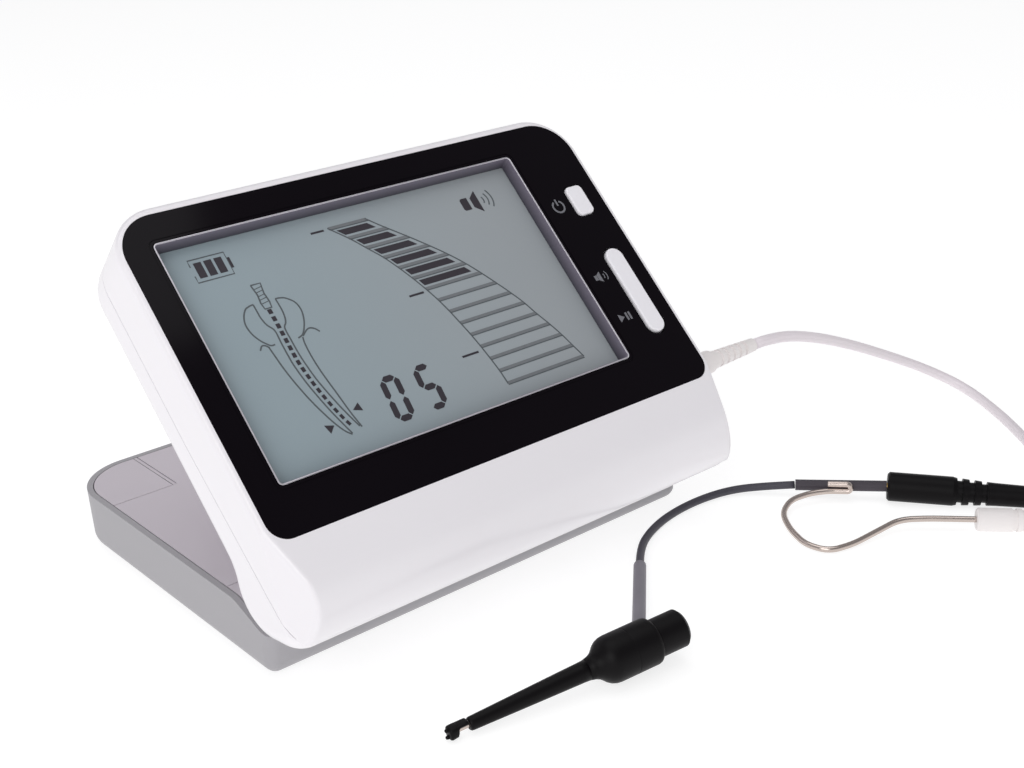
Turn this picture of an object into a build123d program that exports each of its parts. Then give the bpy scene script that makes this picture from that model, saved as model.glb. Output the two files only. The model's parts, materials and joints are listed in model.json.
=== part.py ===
from build123d import *
import os
from math import asin, atan2, cos, degrees, hypot, pi, radians, sin, sqrt, tan

# An apex locator: a screen housing that tilts on a low base, with its measuring cable,
# lip hook and file clip lying on the table in front of it.  Millimetres, +Z up, front at -Y.
# The origin is the middle of the unit's footprint; the screen's own pieces are drawn flat in
# the panel frame (X across, Y up the panel, Z out of it) and tilted into place.

# ---- screen housing -------------------------------------------------------------------
unit_width = 128.0        # housing, side to side
unit_depth = 112.94       # front of the chin to the back of the base, at rest
tilt = 44.0               # panel against the table, at rest
slab_top = 41.0           # panel centre to the housing's top edge
slab_depth = 22.0         # housing, front to back
corner_radius = 12.0      # top corners, seen from the front
front_edge = 1.4          # rounding of the front shell's edges
back_edge = 5.0           # rounding of the rear shell's edges
shell_wall = 2.0
barrel_radius = 12.5      # round of the housing about the hinge axis
barrel_blend = 8.0
chin_radius = 11.0
chin_drop = 47.2          # panel centre down to the chin's centre
hinge_drop = 43.5         # panel centre down to the hinge axis
hinge_back = 13.3         # panel front back to the hinge axis
facet_top, facet_low = -34.0, -56.0   # the chin's ends slant inwards between these heights
facet_in, facet_back = 6.0, 13.0      # by this much at the front, and back to this depth
facet_soft_front, facet_soft_rear = 1.2, 4.0
seam_back = 12.5          # panel front back to the seam between the shells
seam_gap = 0.2
seam_bend = -9.0          # height on the panel where the seam turns forwards
seam_toe = 10.5           # the seam's distance from the front at the chin

# ---- front panel, screen and keys ------------------------------------------------------
panel_width = 125.0
panel_height = 77.8
panel_thick = 1.4
panel_top_radius = 9.5
panel_low_radius = 4.5
plate_thick = 1.4         # housing plate behind the panel
fit_gap = 0.1             # between pieces that are laid into each other
window_width = 97.7
window_height = 59.1
window_across = -6.35     # window centre from panel centre
window_up = 1.95
window_rim = 1.2
rim_chamfer = 0.5
flange_wide = 2.4
flange_thick = 0.6
glass_thick = 2.2
light_thick = 3.0
contact_height = 2.8
key_across = 55.3
power_up = 15.1
power_width, power_height, power_radius = 5.2, 8.4, 1.4
rocker_up = -12.1
rocker_width, rocker_height = 5.2, 24.5
key_gap = 0.3
rocker_gap = 0.45
key_proud = 0.7
key_flange = 1.0
key_travel = 0.6
rocker_swing = 2.5
rocker_pivot = 4.2        # panel front back to the rocker's pivot
rocker_stem_at = 8.0      # each stem from the rocker's middle
pivot_radius = 0.9
stem_radius = 1.5
switch_size = 6.0
switch_height = 3.6
plunger_top = 7.2         # panel front back to the top of a switch's plunger
board_front = 12.0        # panel front back to the board
board_thick = 1.6
board_half = 60.0
board_top = 38.2
board_low = -35.6
board_corner = 9.0
post_radius = 2.3
post_spots = [(-50.0, 36.4), (38.0, 36.4), (-50.0, -32.9), (47.0, -32.9)]
screw_radius = 1.0
screw_fit = 0.05
head_radius = 1.9
head_height = 1.3
screw_sink = 3.0          # depth of the sinks for the shell screws
socket_up = -33.5
socket_back = 9.3
socket_radius = 3.4
socket_length = 12.0
plug_pin_radius = 1.7

# ---- hinge -----------------------------------------------------------------------------
hinge_height = 24.8       # axis above the table
shaft_radius = 2.0
shaft_fit = 0.05
ear_centre = 40.0         # ear from the middle, on each side
ear_thick = 2.4
ear_radius = 4.2
washer_thick = 0.3
washer_gap = 0.05
knuckle_radius = 4.6
knuckle_width = 4.4
ear_foot = (11.4, -15.3)  # foot of an ear from the hinge axis, in Y and Z
foot_half = 8.4
foot_plate = 1.6
foot_screw_x = 5.5        # bracket screws from the ear's middle
foot_screw_y = 7.0        # and behind its foot
leaf_front = 3.4          # panel front back to the hinge leaf
leaf_thick = 1.6
leaf_low = 51.0           # panel centre down to the leaf's lower edge
leaf_screw_x = 4.4
leaf_screw_v = 48.7
slot_margin = 0.6
tilt_closed = -44.0
tilt_open = 26.0
harness_side = 18.0       # the inner cable's crossing of the hinge axis
harness_radius = 1.1

# ---- base ------------------------------------------------------------------------------
foot_height = 0.8
base_width = 123.0
base_height = 14.5
base_rear = unit_depth / 2
base_lip_back = 3.6       # base front behind the hinge axis
lip_height = 9.6
seat_run = 16.7           # hinge axis back to where the seat starts to fall
rear_radius = 15.0
front_radius = 3.0
base_edge = 3.0           # bottom edge rounding
base_draft = 1.5
base_wall = 2.2
cover_rim = 1.5
cover_thick = 1.8
cover_gap = 0.25
cover_seam = 22.0         # hinge axis back to the seam between the two covers
service_width = 17.6
service_depth = 22.5
groove_off = 1.0          # second groove beside the service cover
door_width, door_depth, door_thick = 58.0, 40.0, 1.4
cell_width, cell_depth, cell_height = 52.0, 34.0, 7.0
foot_radius = 4.0
charge_across = 30.0
charge_width, charge_height, charge_depth = 9.0, 3.2, 7.0
charge_up = 7.2           # inlet centre above the base's underside
door_y = 16.0
base_post_x = 53.0
base_post_in = 12.0       # rear posts in front of the base's back
base_foot_x = 46.0
base_foot_front, base_foot_rear = 12.0, 22.0

# ---- measuring cable and what is on it ---------------------------------------------------
plug_radius = 3.0
plug_length = 9.0
relief_length = 16.0
relief_radius = 2.4
cable_radius = 1.5
branch_radius = 1.0
coil_mean = 16.0
coil_half = 5.5
lead_radius = 1.0
sleeve_radius = 1.4
black_length, black_radius, black_tail = 42.0, 3.7, 2.6
white_length, white_radius = 30.0, 2.9
hook_radius = 0.75
hook_in = 14.0            # shank length held in the white connector
hook_travel = 12.0
bore_gap = 0.1
clip_radius = 5.2
clip_length = 14.0
nose_length = 31.0
nose_wide, nose_slim = 2.2, 1.45
cap_radius = 4.2
cap_length = 8.0
cap_travel = 4.0
clip_rod_radius = 0.6
jaw_length = 5.0
jaw_radius = 1.5
sleeve_core = 0.9         # contact pin of the clip lead
hook_fit = 0.5            # bore left beyond the hook's shank
spring_pressed = 3.2
outlet_reach = 8.2        # clip axis out to the start of the sleeve

# ---- worked out --------------------------------------------------------------------------
hinge_v, hinge_w = -hinge_drop, -hinge_back
half_width = unit_width / 2
lean_cos, lean_sin = cos(radians(tilt)), sin(radians(tilt))
chin_reach = (chin_drop - hinge_drop) * lean_cos + (hinge_back - chin_radius) * lean_sin + chin_radius
hinge_y = chin_reach - unit_depth / 2
ear_lean = degrees(atan2(ear_foot[1], ear_foot[0]))
base_front = hinge_y + base_lip_back
chin_low = chin_drop + chin_radius
base_top = foot_height + base_height
lip_top = foot_height + lip_height
seat_break = hinge_y + seat_run
plate_back = panel_thick + plate_thick
glass_front = plate_back + flange_thick
panel_place = Pos(0, hinge_y, hinge_height) * Rot(tilt, 0, 0) * Pos(0, -hinge_v, -hinge_w)


def write(name, *pieces):
    solids = [s for p in pieces for s in p.solids()]
    whole = solids[0] if len(solids) == 1 else Compound(children=solids)
    whole.label = name
    export_step(whole, f"parts/{name}.step")


def on_panel(*pieces):
    return [panel_place * p for p in pieces]


def block(x0, x1, y0, y1, z0, z1):
    return Pos((x0 + x1) / 2, (y0 + y1) / 2, (z0 + z1) / 2) * Box(x1 - x0, y1 - y0, z1 - z0)


def plate(width, height, radius, z0, z1, x=0.0, y=0.0):
    """Rounded rectangle between two heights."""
    return Pos(x, y, z0) * extrude(RectangleRounded(width, height, radius), z1 - z0)


def rod(start, end, radius):
    start, end = Vector(*start), Vector(*end)
    run = end - start
    return Plane(origin=start, z_dir=run) * Cylinder(radius, run.length, align=(Align.CENTER, Align.CENTER, Align.MIN))


def across(points, x0, x1):
    """Outline in Y and Z, carried across X from x0 to x1."""
    face = Plane.YZ * Polygon(*points, align=None)
    return Pos(x0, 0, 0) * extrude(face, x1 - x0, dir=(1, 0, 0))


# ---- housing shells ------------------------------------------------------------------------
def housing_profile(inset):
    """Side view of the housing: a slab, the barrel round the hinge and the round chin."""
    r1, r2 = barrel_radius - inset, chin_radius - inset
    v1, w1, v2, w2 = hinge_v, hinge_w, -chin_drop, -chin_radius
    span = hypot(v2 - v1, w2 - w1)
    dv, dw = (v2 - v1) / span, (w2 - w1) / span
    lean = (r1 - r2) / span
    side = sqrt(1 - lean * lean)
    nv, nw = dv * lean - dw * side, dw * lean + dv * side
    web = Polygon((v1, w1), (v2, w2), (v2 + r2 * nv, w2 + r2 * nw), (v1 + r1 * nv, w1 + r1 * nw), align=None)
    top = slab_top - inset
    slab = Pos((top + v1) / 2, -slab_depth / 2) * Rectangle(top - v1, slab_depth - 2 * inset)
    neck = Pos((v1 + v2) / 2, -(chin_radius + inset) / 2) * Rectangle(v1 - v2, chin_radius - inset)
    outline = slab + neck + Pos(v1, w1) * Circle(r1) + Pos(v2, w2) * Circle(r2) + web
    heel = outline.vertices().filter_by(lambda p: abs(p.Y + slab_depth - inset) < 0.01 and p.X < 0)
    return fillet(heel, barrel_blend + inset)


def facet_plane(side, inset):
    """Plane of the slanted end of the chin on one side."""
    corner = Vector(side * half_width, facet_top, 0)
    across_front = Vector(-side * facet_in, facet_low - facet_top, 0)
    down_side = Vector(0, facet_low - facet_top, -facet_back)
    out = (across_front.cross(down_side) * side).normalized()
    return Plane(origin=corner - out * inset, z_dir=out)


def slant_ends(body, inset, soften):
    """Cut both slanted ends of the chin, and round their edges where soften is given."""
    size = 200.0
    for side in (-1, 1):
        facet = facet_plane(side, inset)
        body = body - facet * Pos(0, 0, size / 2) * Box(size, size, size)
        if soften:
            edges = [e for e in body.edges() if all(abs(facet.to_local_coords(e.position_at(t)).Z) < 0.01 for t in (0, 0.5, 1))]
            body = fillet(ShapeList(edges), soften)
    return body


def housing(inset, edge, soften=0.0):
    half = half_width - inset
    body = extrude(Plane.YZ * housing_profile(inset), half, both=True)
    corners = body.edges().filter_by(Axis.Z).filter_by(lambda e: e.center().Y > 0)
    body = fillet(corners, corner_radius - inset)
    rim = [e for f in body.faces().filter_by(Axis.X) for e in f.edges()]
    top_line = slab_top - inset - corner_radius
    for face in body.faces().filter_by(Axis.Z):
        rim += [e for e in face.edges() if e.center().Y > top_line and abs(e.center().X) < half - 0.01]
    return slant_ends(fillet(ShapeList(rim), edge), inset, soften)


def seam_solid(gap):
    """Everything in front of the seam between the shells, moved forwards by gap."""
    far = 200.0
    slope = (seam_back - seam_toe) / (chin_low + seam_bend)
    low_w = -seam_toe + slope * (far - chin_low)
    points = [(far, far), (-far, far), (-far, low_w + gap), (seam_bend, -seam_back + gap), (far, -seam_back + gap)]
    return across(points, -far, far)


def window_block(grow, w0, w1):
    return plate(window_width + 2 * grow, window_height + 2 * grow, 0.6 + grow, w0, w1, window_across, window_up)


def panel_outline(grow, w0, w1):
    wide, high = panel_width / 2 + grow, panel_height / 2 + grow
    slab = block(-wide, wide, -high, high, w0, w1)
    upper = slab.edges().filter_by(Axis.Z).filter_by(lambda e: e.center().Y > 0)
    slab = fillet(upper, panel_top_radius + grow)
    lower = slab.edges().filter_by(Axis.Z).filter_by(lambda e: e.center().Y < -high + 0.01)
    return fillet(lower, panel_low_radius + grow)


def key_holes(w0, w1):
    power = plate(power_width + 2 * key_gap, power_height + 2 * key_gap, power_radius + key_gap,
                  w0, w1, key_across, power_up)
    wide, high = rocker_width + 2 * rocker_gap, rocker_height + 2 * rocker_gap
    rocker = plate(wide, high, wide / 2 - 0.001, w0, w1, key_across, rocker_up)
    return power + rocker


def rocker_lug(x0, x1):
    """Bearing for one end of the rocker's pivot, hanging from the housing plate."""
    lug = block(x0, x1, rocker_up - 2.2, rocker_up + 2.2, -rocker_pivot - 2.2, -plate_back + 0.1)
    return lug - rod((x0 - 1, rocker_up, -rocker_pivot), (x1 + 1, rocker_up, -rocker_pivot), 0.9 + shaft_fit)


def leaf_screws_at():
    return [side * ear_centre + x for side in (-1, 1) for x in (-leaf_screw_x, leaf_screw_x)]


def front_shell(outer, inner):
    deep = -20.0
    shell = (outer & seam_solid(seam_gap / 2)) - inner
    seat = inner & block(-half_width, half_width, -panel_height / 2 - 2, slab_top, -plate_back, 0)
    shell = shell + seat - panel_outline(fit_gap, -panel_thick, 1)
    shell = shell - window_block(window_rim + fit_gap, deep, 1) - key_holes(-plate_back - 1, 1)
    for x, y in post_spots:
        post = rod((x, y, -plate_back + 0.2), (x, y, -board_front), post_radius)
        shell = shell + post - rod((x, y, -plate_back - 1.5), (x, y, -board_front - 1), screw_radius + screw_fit)
    for x in leaf_screws_at():
        pad = rod((x, -leaf_screw_v, -shell_wall + 0.2), (x, -leaf_screw_v, -leaf_front), 2.2)
        shell = shell + pad - rod((x, -leaf_screw_v, -1.2), (x, -leaf_screw_v, -leaf_front - 1), screw_radius + screw_fit)
    shell = shell + rocker_lug(key_across - 5.8, key_across - 3.9) + rocker_lug(key_across + 3.9, key_across + 5.8)
    return shell - socket_hole()


def socket_hole():
    return rod((half_width - socket_length, socket_up, -socket_back),
               (half_width + 1, socket_up, -socket_back), socket_radius + fit_gap)


def ear_slot(x, width):
    """Sweep of a piece that stands up to the hinge axis, in the rear shell, over the whole tilt."""
    reach, spread = 24.0, 25.0
    first = ear_lean + spread - (tilt + tilt_closed)
    last = ear_lean - spread - (tilt + tilt_open)
    steps = 8
    fan = [(hinge_v, hinge_w)]
    for i in range(steps + 1):
        a = radians(first + (last - first) * i / steps)
        fan.append((hinge_v + reach * cos(a), hinge_w + reach * sin(a)))
    return across(fan, x - width / 2, x + width / 2)


def rear_shell(outer, inner):
    shell = outer - seam_solid(-seam_gap / 2) - inner
    back = -slab_depth
    for x, y in post_spots:
        boss = rod((x, y, back + shell_wall - 0.2), (x, y, -board_front - board_thick), 3.0)
        shell = shell + boss - rod((x, y, back - 5), (x, y, 0), screw_radius + 0.2)
        shell = shell - rod((x, y, back - 5), (x, y, back + screw_sink), 2.2)
    for i in range(6):
        y = 8.0 + 3.2 * i
        shell = shell - plate(14.0, 1.3, 0.6, back - 1, back + shell_wall + 1, 24.0, y)
    for side in (-1, 1):
        shell = shell - ear_slot(side * ear_centre, ear_thick + 2 * slot_margin)
    shell = shell - ear_slot(harness_side, 2 * harness_radius + 2 * slot_margin)
    return shell - socket_hole()


# ---- screen, keys and boards ---------------------------------------------------------------
def bezel_panel():
    panel = panel_outline(0, -panel_thick, 0)
    return panel - window_block(window_rim + fit_gap, -5, 1) - key_holes(-5, 1)


def lcd_frame():
    """Black well round the screen, with a flange behind the housing plate."""
    well = window_block(window_rim, -glass_front, -0.1) + window_block(flange_wide, -glass_front, -plate_back)
    well = well - window_block(0, -glass_front - 1, 1)
    inner = well.edges().filter_by(lambda e: e.center().Z > -0.11).filter_by(GeomType.LINE)
    inner = inner.filter_by(lambda e: abs(abs(e.center().X - window_across) - window_width / 2) < 0.01
                            or abs(abs(e.center().Y - window_up) - window_height / 2) < 0.01)
    return chamfer(inner, rim_chamfer)


def lcd_stack():
    wide, high = window_width / 2 + flange_wide, window_height / 2 + flange_wide
    x0, x1 = window_across - wide, window_across + wide
    y0, y1 = window_up - high, window_up + high
    glass_back = glass_front + glass_thick
    glass = block(x0, x1, y0, y1, -glass_back, -glass_front)
    light = block(x0, x1, y0 + contact_height + 1, y1, -glass_back - light_thick, -glass_back)
    strip = block(x0 + 4, x1 - 4, y0 + 0.3, y0 + contact_height, -board_front, -glass_back)
    return glass, light, strip


def main_board():
    wide = board_half
    board = block(-wide, wide, board_low, board_top, -board_front - board_thick, -board_front)
    top = board.edges().filter_by(Axis.Z).filter_by(lambda e: e.center().Y > 0)
    board = fillet(top, board_corner)
    board = board - block(half_width - socket_length - 3, half_width, board_low - 1, socket_up + 5, -20, 0)
    for x, y in post_spots:
        board = board - rod((x, y, -20), (x, y, 0), screw_radius + 0.2)
    return board


def board_chips():
    back = -board_front - board_thick
    sizes = [(-20, 10, 12, 12, 1.4), (-40, 16, 8, 6, 1.2), (-40, -4, 6, 5, 1.1), (-8, -12, 7, 7, 1.2),
             (8, 8, 5, 4, 1.0), (44, 4, 8, 5, 1.6), (46, -14, 6, 6, 2.4), (-30, -20, 4, 3, 1.0)]
    chips = [block(x - a / 2, x + a / 2, y - b / 2, y + b / 2, back - c, back) for x, y, a, b, c in sizes]
    cans = [rod((x, -24, back), (x, -24, back - 4.6), 2.6) for x in (-12.0, -20.0)]
    return chips + cans


def tact_switches():
    made = []
    for y in (power_up, rocker_up + rocker_stem_at, rocker_up - rocker_stem_at):
        can = plate(switch_size, switch_size, 0.4, -board_front, -board_front + switch_height, key_across, y)
        made.append(can + rod((key_across, y, -board_front + 1), (key_across, y, -plunger_top), 1.6))
    return made


def soft_top(solid, radius):
    edges = solid.faces().sort_by(Axis.Z)[-1].edges()
    return fillet(edges, radius)


def power_key():
    flange_top = plate_back + 0.2
    cap = soft_top(plate(power_width, power_height, power_radius, -flange_top - 0.1, key_proud,
                         key_across, power_up), 0.5)
    flange = plate(power_width + 2, power_height + 2, power_radius + 0.8, -flange_top - key_flange, -flange_top,
                   key_across, power_up)
    stem = rod((key_across, power_up, -flange_top - 0.1), (key_across, power_up, -plunger_top + key_travel + 0.1),
               stem_radius)
    return cap + flange + stem


def mode_rocker():
    flange_top = rocker_pivot - key_flange / 2
    cap = soft_top(plate(rocker_width, rocker_height, rocker_width / 2 - 0.001, -flange_top - 0.1, key_proud,
                         key_across, rocker_up), 0.5)
    flange = plate(rocker_width + 1.6, rocker_height + 1.6, rocker_width / 2 + 0.7, -flange_top - key_flange,
                   -flange_top, key_across, rocker_up)
    pivot = rod((key_across - 5.0, rocker_up, -rocker_pivot), (key_across + 5.0, rocker_up, -rocker_pivot), 0.9)
    rocker = cap + flange + pivot
    for side in (-1, 1):
        y = rocker_up + side * rocker_stem_at
        rocker = rocker + rod((key_across, y, -flange_top - 0.1), (key_across, y, -plunger_top + 0.7), stem_radius)
    return rocker


def probe_socket():
    inner = half_width - socket_length
    body = rod((inner - 2, socket_up, -socket_back), (half_width - 0.1, socket_up, -socket_back), socket_radius)
    return body - rod((inner, socket_up, -socket_back), (half_width + 1, socket_up, -socket_back),
                      plug_pin_radius + shaft_fit)


def shell_screws():
    made = []
    for x, y in post_spots:
        head_top = -slab_depth + screw_sink
        shank = rod((x, y, head_top), (x, y, -plate_back - 2.0), screw_radius)
        head = rod((x, y, head_top - 1.3), (x, y, head_top), 1.9)
        made.append(head + shank - cross_recess(x, y, head_top - 1.3, 1))
    return made


def cross_recess(x, y, z, into):
    """Cross slot in a screw head whose top is at z, cut towards +Z or -Z."""
    low, high = sorted((z - into * 0.5, z + into * 0.7))
    return block(x - 1.1, x + 1.1, y - 0.22, y + 0.22, low, high) + block(x - 0.22, x + 0.22, y - 1.1, y + 1.1, low, high)


# ---- hinge ---------------------------------------------------------------------------------
def hinge_ear(side):
    """Steel bracket: an ear that rises from the base to the axis, on a screwed foot."""
    y0, z0 = hinge_y + ear_foot[0], hinge_height + ear_foot[1]
    x0 = side * ear_centre - ear_thick / 2
    length = hypot(*ear_foot)
    bar = Rot(0, 0, ear_lean) * Pos(length / 2, 0) * SlotCenterToCenter(length, 2 * ear_radius)
    ear = Pos(x0, hinge_y, hinge_height) * extrude(Plane.YZ * bar, ear_thick)
    foot = block(side * ear_centre - foot_half, side * ear_centre + foot_half, y0 - 3, y0 + 11,
                 z0 - ear_radius, z0 - ear_radius + foot_plate)
    ear = ear + foot
    ear = ear - rod((x0 - 1, hinge_y, hinge_height), (x0 + ear_thick + 1, hinge_y, hinge_height), shaft_radius)
    for x in (-foot_screw_x, foot_screw_x):
        spot = side * ear_centre + x
        ear = ear - rod((spot, y0 + foot_screw_y, 0), (spot, y0 + foot_screw_y, 20), screw_radius + 0.2)
    return ear


def hinge_leaf(side):
    """Leaf on the screen housing: two knuckles on one plate, in the panel frame."""
    inner = ear_thick / 2 + washer_thick + 2 * washer_gap
    centre = side * ear_centre
    wide = inner + knuckle_width
    leaf = block(centre - wide, centre + wide, -leaf_low, hinge_v + 4.0, -leaf_front - leaf_thick, -leaf_front)
    for end in (-1, 1):
        x0, x1 = sorted((centre + end * inner, centre + end * wide))
        leaf = leaf + rod((x0, hinge_v, hinge_w), (x1, hinge_v, hinge_w), knuckle_radius)
        leaf = leaf + block(x0, x1, hinge_v - 2.4, hinge_v + 4.0, hinge_w, -leaf_front - 0.5)
    leaf = leaf - rod((centre - 20, hinge_v, hinge_w), (centre + 20, hinge_v, hinge_w), shaft_radius + shaft_fit)
    for x in (-leaf_screw_x, leaf_screw_x):
        spot = (centre + x, -leaf_screw_v)
        leaf = leaf - rod((*spot, -20), (*spot, 0), screw_radius + 0.2)
    return leaf


def leaf_screws():
    made = []
    seat = -leaf_front - leaf_thick
    for x in leaf_screws_at():
        head = rod((x, -leaf_screw_v, seat - head_height), (x, -leaf_screw_v, seat), 1.7)
        shank = rod((x, -leaf_screw_v, seat), (x, -leaf_screw_v, -1.4), screw_radius)
        made.append(head + shank - cross_recess(x, -leaf_screw_v, seat - head_height, 1))
    return made


def hinge_shafts():
    """Two steel pins with a head outside; the inner ends carry retaining rings."""
    reach = ear_thick / 2 + washer_thick + 2 * washer_gap + knuckle_width
    made = []
    for side in (-1, 1):
        inner, outer = side * (ear_centre - reach - 1.4), side * (ear_centre + reach + 0.2)
        pin = rod((inner, hinge_y, hinge_height), (outer, hinge_y, hinge_height), shaft_radius)
        head = rod((outer, hinge_y, hinge_height), (outer + side * 1.2, hinge_y, hinge_height), shaft_radius + 1.2)
        made.append(pin + head)
    return made


def ring(x0, x1, inner, outer):
    axis = (hinge_y, hinge_height)
    return rod((x0, *axis), (x1, *axis), outer) - rod((x0 - 1, *axis), (x1 + 1, *axis), inner)


def friction_washers():
    gap = ear_thick / 2 + washer_gap
    made = []
    for side in (-1, 1):
        for end in (-1, 1):
            x = sorted((side * ear_centre + end * gap, side * ear_centre + end * (gap + washer_thick)))
            made.append(ring(x[0], x[1], shaft_radius, ear_radius))
    return made


def retaining_rings():
    reach = ear_thick / 2 + washer_thick + 2 * washer_gap + knuckle_width + 0.2
    return [ring(*sorted((s * (ear_centre - reach), s * (ear_centre - reach - 0.8))), shaft_radius, shaft_radius + 1.3)
            for s in (-1, 1)]


# ---- base ----------------------------------------------------------------------------------
def base_side(drop, front, rear):
    """Side outline of the base, its top lowered by drop: flat, then falling to the lip."""
    fall = (base_top - lip_top) / (seat_break - base_front)
    low = lip_top - drop - fall * (base_front - front)
    return [(front, foot_height - 5), (rear, foot_height - 5), (rear, base_top - drop), (seat_break, base_top - drop),
            (front, low)]


def base_top_form(drop):
    body = across(base_side(drop, base_front - 5, base_rear + 5), -base_width, base_width)
    bend = body.edges().filter_by(Axis.X).filter_by(lambda e: abs(e.center().Y - seat_break) < 0.01
                                                    and e.center().Z > foot_height)
    return fillet(bend, 9.0 - drop)


def base_outline(inset):
    """Footprint of the base, moved in by inset."""
    wide = base_width / 2 - inset
    front, rear = base_front + inset, base_rear - inset
    outline = Pos(0, (front + rear) / 2) * Rectangle(2 * wide, rear - front)
    outline = fillet(outline.vertices().filter_by(lambda p: p.Y > front + 1), max(rear_radius - inset, 0.6))
    return fillet(outline.vertices().filter_by(lambda p: p.Y < front + 0.01), max(front_radius - inset, 0.6))


def base_plan(inset, z0, z1):
    return Pos(0, 0, z0) * extrude(base_outline(inset), z1 - z0)


def base_outer():
    """Base block whose sides lean in towards the table, with a rounded bottom edge."""
    body = extrude(Pos(0, 0, base_top) * base_outline(0), base_height, dir=(0, 0, -1), taper=base_draft)
    return fillet(body.faces().sort_by(Axis.Z)[0].edges(), base_edge)


def base_tray(outer):
    under = cover_thick + cover_gap
    floor = foot_height + base_wall
    hollow = base_plan(base_wall + 0.9, floor, base_top) & base_top_form(under - cover_gap)
    seat = base_plan(cover_rim, floor, base_top + 1) - base_top_form(cover_thick + fit_gap)
    tray = outer & base_top_form(0)
    tray = tray - hollow - seat
    for x, y in base_posts():
        tray = tray + rod((x, y, floor - 0.3), (x, y, floor + 2.5), 3.2)
        tray = tray - rod((x, y, 0), (x, y, 40), screw_radius + 0.2) - rod((x, y, 0), (x, y, foot_height + 1.8), 2.2)
    tray = tray - block(-door_width / 2, door_width / 2, door_y - door_depth / 2, door_y + door_depth / 2, 0, floor + 1)
    ledge = block(-door_width / 2 - 0.2, door_width / 2 + 0.2, door_y - door_depth / 2 - 0.2,
                  door_y + door_depth / 2 + 0.2, floor - base_wall + door_thick + fit_gap, floor)
    ledge = ledge - block(-door_width / 2 + 2, door_width / 2 - 2, door_y - door_depth / 2 + 2,
                          door_y + door_depth / 2 - 2, 0, floor + 1)
    tray = tray + ledge
    tray = tray - rod((0, door_screw_y(), 0), (0, door_screw_y(), floor + 3), screw_radius + screw_fit)
    for x, y in foot_spots():
        tray = tray - rod((x, y, 0), (x, y, foot_height + 0.8), foot_radius)
    for side in (-1, 1):
        x, wide = side * ear_centre, ear_thick / 2 + 0.4
        tray = tray - block(x - wide, x + wide, base_front + cover_rim, base_front + 6, floor + 3, 40)
    return tray - charge_hole()


def charge_hole():
    return block(charge_across - charge_width / 2 - 0.3, charge_across + charge_width / 2 + 0.3,
                 base_rear - 12, base_rear + 5, foot_height + charge_up - charge_height / 2 - 0.3, foot_height + charge_up + charge_height / 2 + 0.3)


def base_posts():
    rear, front = base_rear - base_post_in, seat_break + 1
    return [(x, y) for y in (rear, front) for x in (-base_post_x, base_post_x)]


def foot_spots():
    return [(x, y) for x in (-base_foot_x, base_foot_x)
            for y in (base_front + base_foot_front, base_rear - base_foot_rear)]


def cover_post(x, y):
    """Post under a cover with the pilot hole of one screw."""
    low = foot_height + base_wall + 2.7
    return rod((x, y, low), (x, y, base_top - 1), 2.6), rod((x, y, 0), (x, y, base_top - 1.6), screw_radius + screw_fit)


def cover_layer():
    layer = base_plan(cover_rim + cover_gap, foot_height, base_top + 1)
    return layer & (base_top_form(0) - base_top_form(cover_thick))


def service_zone(grow):
    x0 = -base_width / 2 - 5
    return block(x0, -base_width / 2 + service_width + grow, base_rear - service_depth - grow, base_rear + 5, 0, 40)


def base_cover(layer):
    seam = hinge_y + cover_seam
    cover = layer & block(-base_width, base_width, seam + cover_gap / 2, base_rear + 5, 0, 40)
    cover = cover - service_zone(cover_gap)
    groove_x = -base_width / 2 + service_width + groove_off
    cover = cover - block(groove_x, groove_x + 0.35, base_rear - service_depth, base_rear, base_top - 0.4, base_top + 1)
    for x, y in base_posts():
        if y > seam and not (x < 0 and y > base_rear - service_depth):
            post, pilot = cover_post(x, y)
            cover = cover + post - pilot
    return cover


def hinge_cover(layer):
    seam = hinge_y + cover_seam
    cover = layer & block(-base_width, base_width, base_front - 5, seam - cover_gap / 2, 0, 40)
    for side in (-1, 1):
        cover = cover - ear_pass(side * ear_centre, ear_thick / 2 + 0.4)
    cover = cover - ear_pass(harness_side, harness_radius + 0.4)
    for x, y in base_posts():
        if y < seam:
            post, pilot = cover_post(x, y)
            cover = cover + post - pilot
    return cover


def ear_pass(x, half):
    y0 = hinge_y + ear_foot[0]
    return block(x - half, x + half, y0 - ear_radius - 2.6, y0 + ear_radius + 1.6, foot_height + base_wall, 40)


def service_cover(layer):
    lid = layer & service_zone(0)
    post, pilot = cover_post(*base_posts()[0])
    return lid + post - pilot


def base_screws():
    made = []
    seat = foot_height + 1.8
    for x, y in base_posts():
        head = rod((x, y, seat - head_height), (x, y, seat), head_radius)
        made.append(head + rod((x, y, seat), (x, y, base_top - 3), screw_radius) - cross_recess(x, y, seat - head_height, 1))
    return made


def bracket_screws():
    made = []
    y = hinge_y + ear_foot[0] + foot_screw_y
    top = hinge_height + ear_foot[1] - ear_radius + foot_plate
    for side in (-1, 1):
        for x in (-foot_screw_x, foot_screw_x):
            spot = side * ear_centre + x
            head = rod((spot, y, top), (spot, y, top + head_height), 1.8)
            made.append(head + rod((spot, y, foot_height + 1.2), (spot, y, top), screw_radius))
    return made


def bracket_seats():
    """Raised pads in the tray under the hinge brackets, with pilot holes for their screws."""
    y0 = hinge_y + ear_foot[0]
    top = hinge_height + ear_foot[1] - ear_radius
    pads = [block(s * ear_centre - foot_half, s * ear_centre + foot_half, y0 - 3, y0 + 11,
                  foot_height + base_wall - 0.2, top) for s in (-1, 1)]
    holes = []
    for side in (-1, 1):
        for x in (-foot_screw_x, foot_screw_x):
            spot = side * ear_centre + x
            holes.append(rod((spot, y0 + foot_screw_y, foot_height + 1.0), (spot, y0 + foot_screw_y, top + 1),
                             screw_radius + screw_fit))
    return pads, holes


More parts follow.
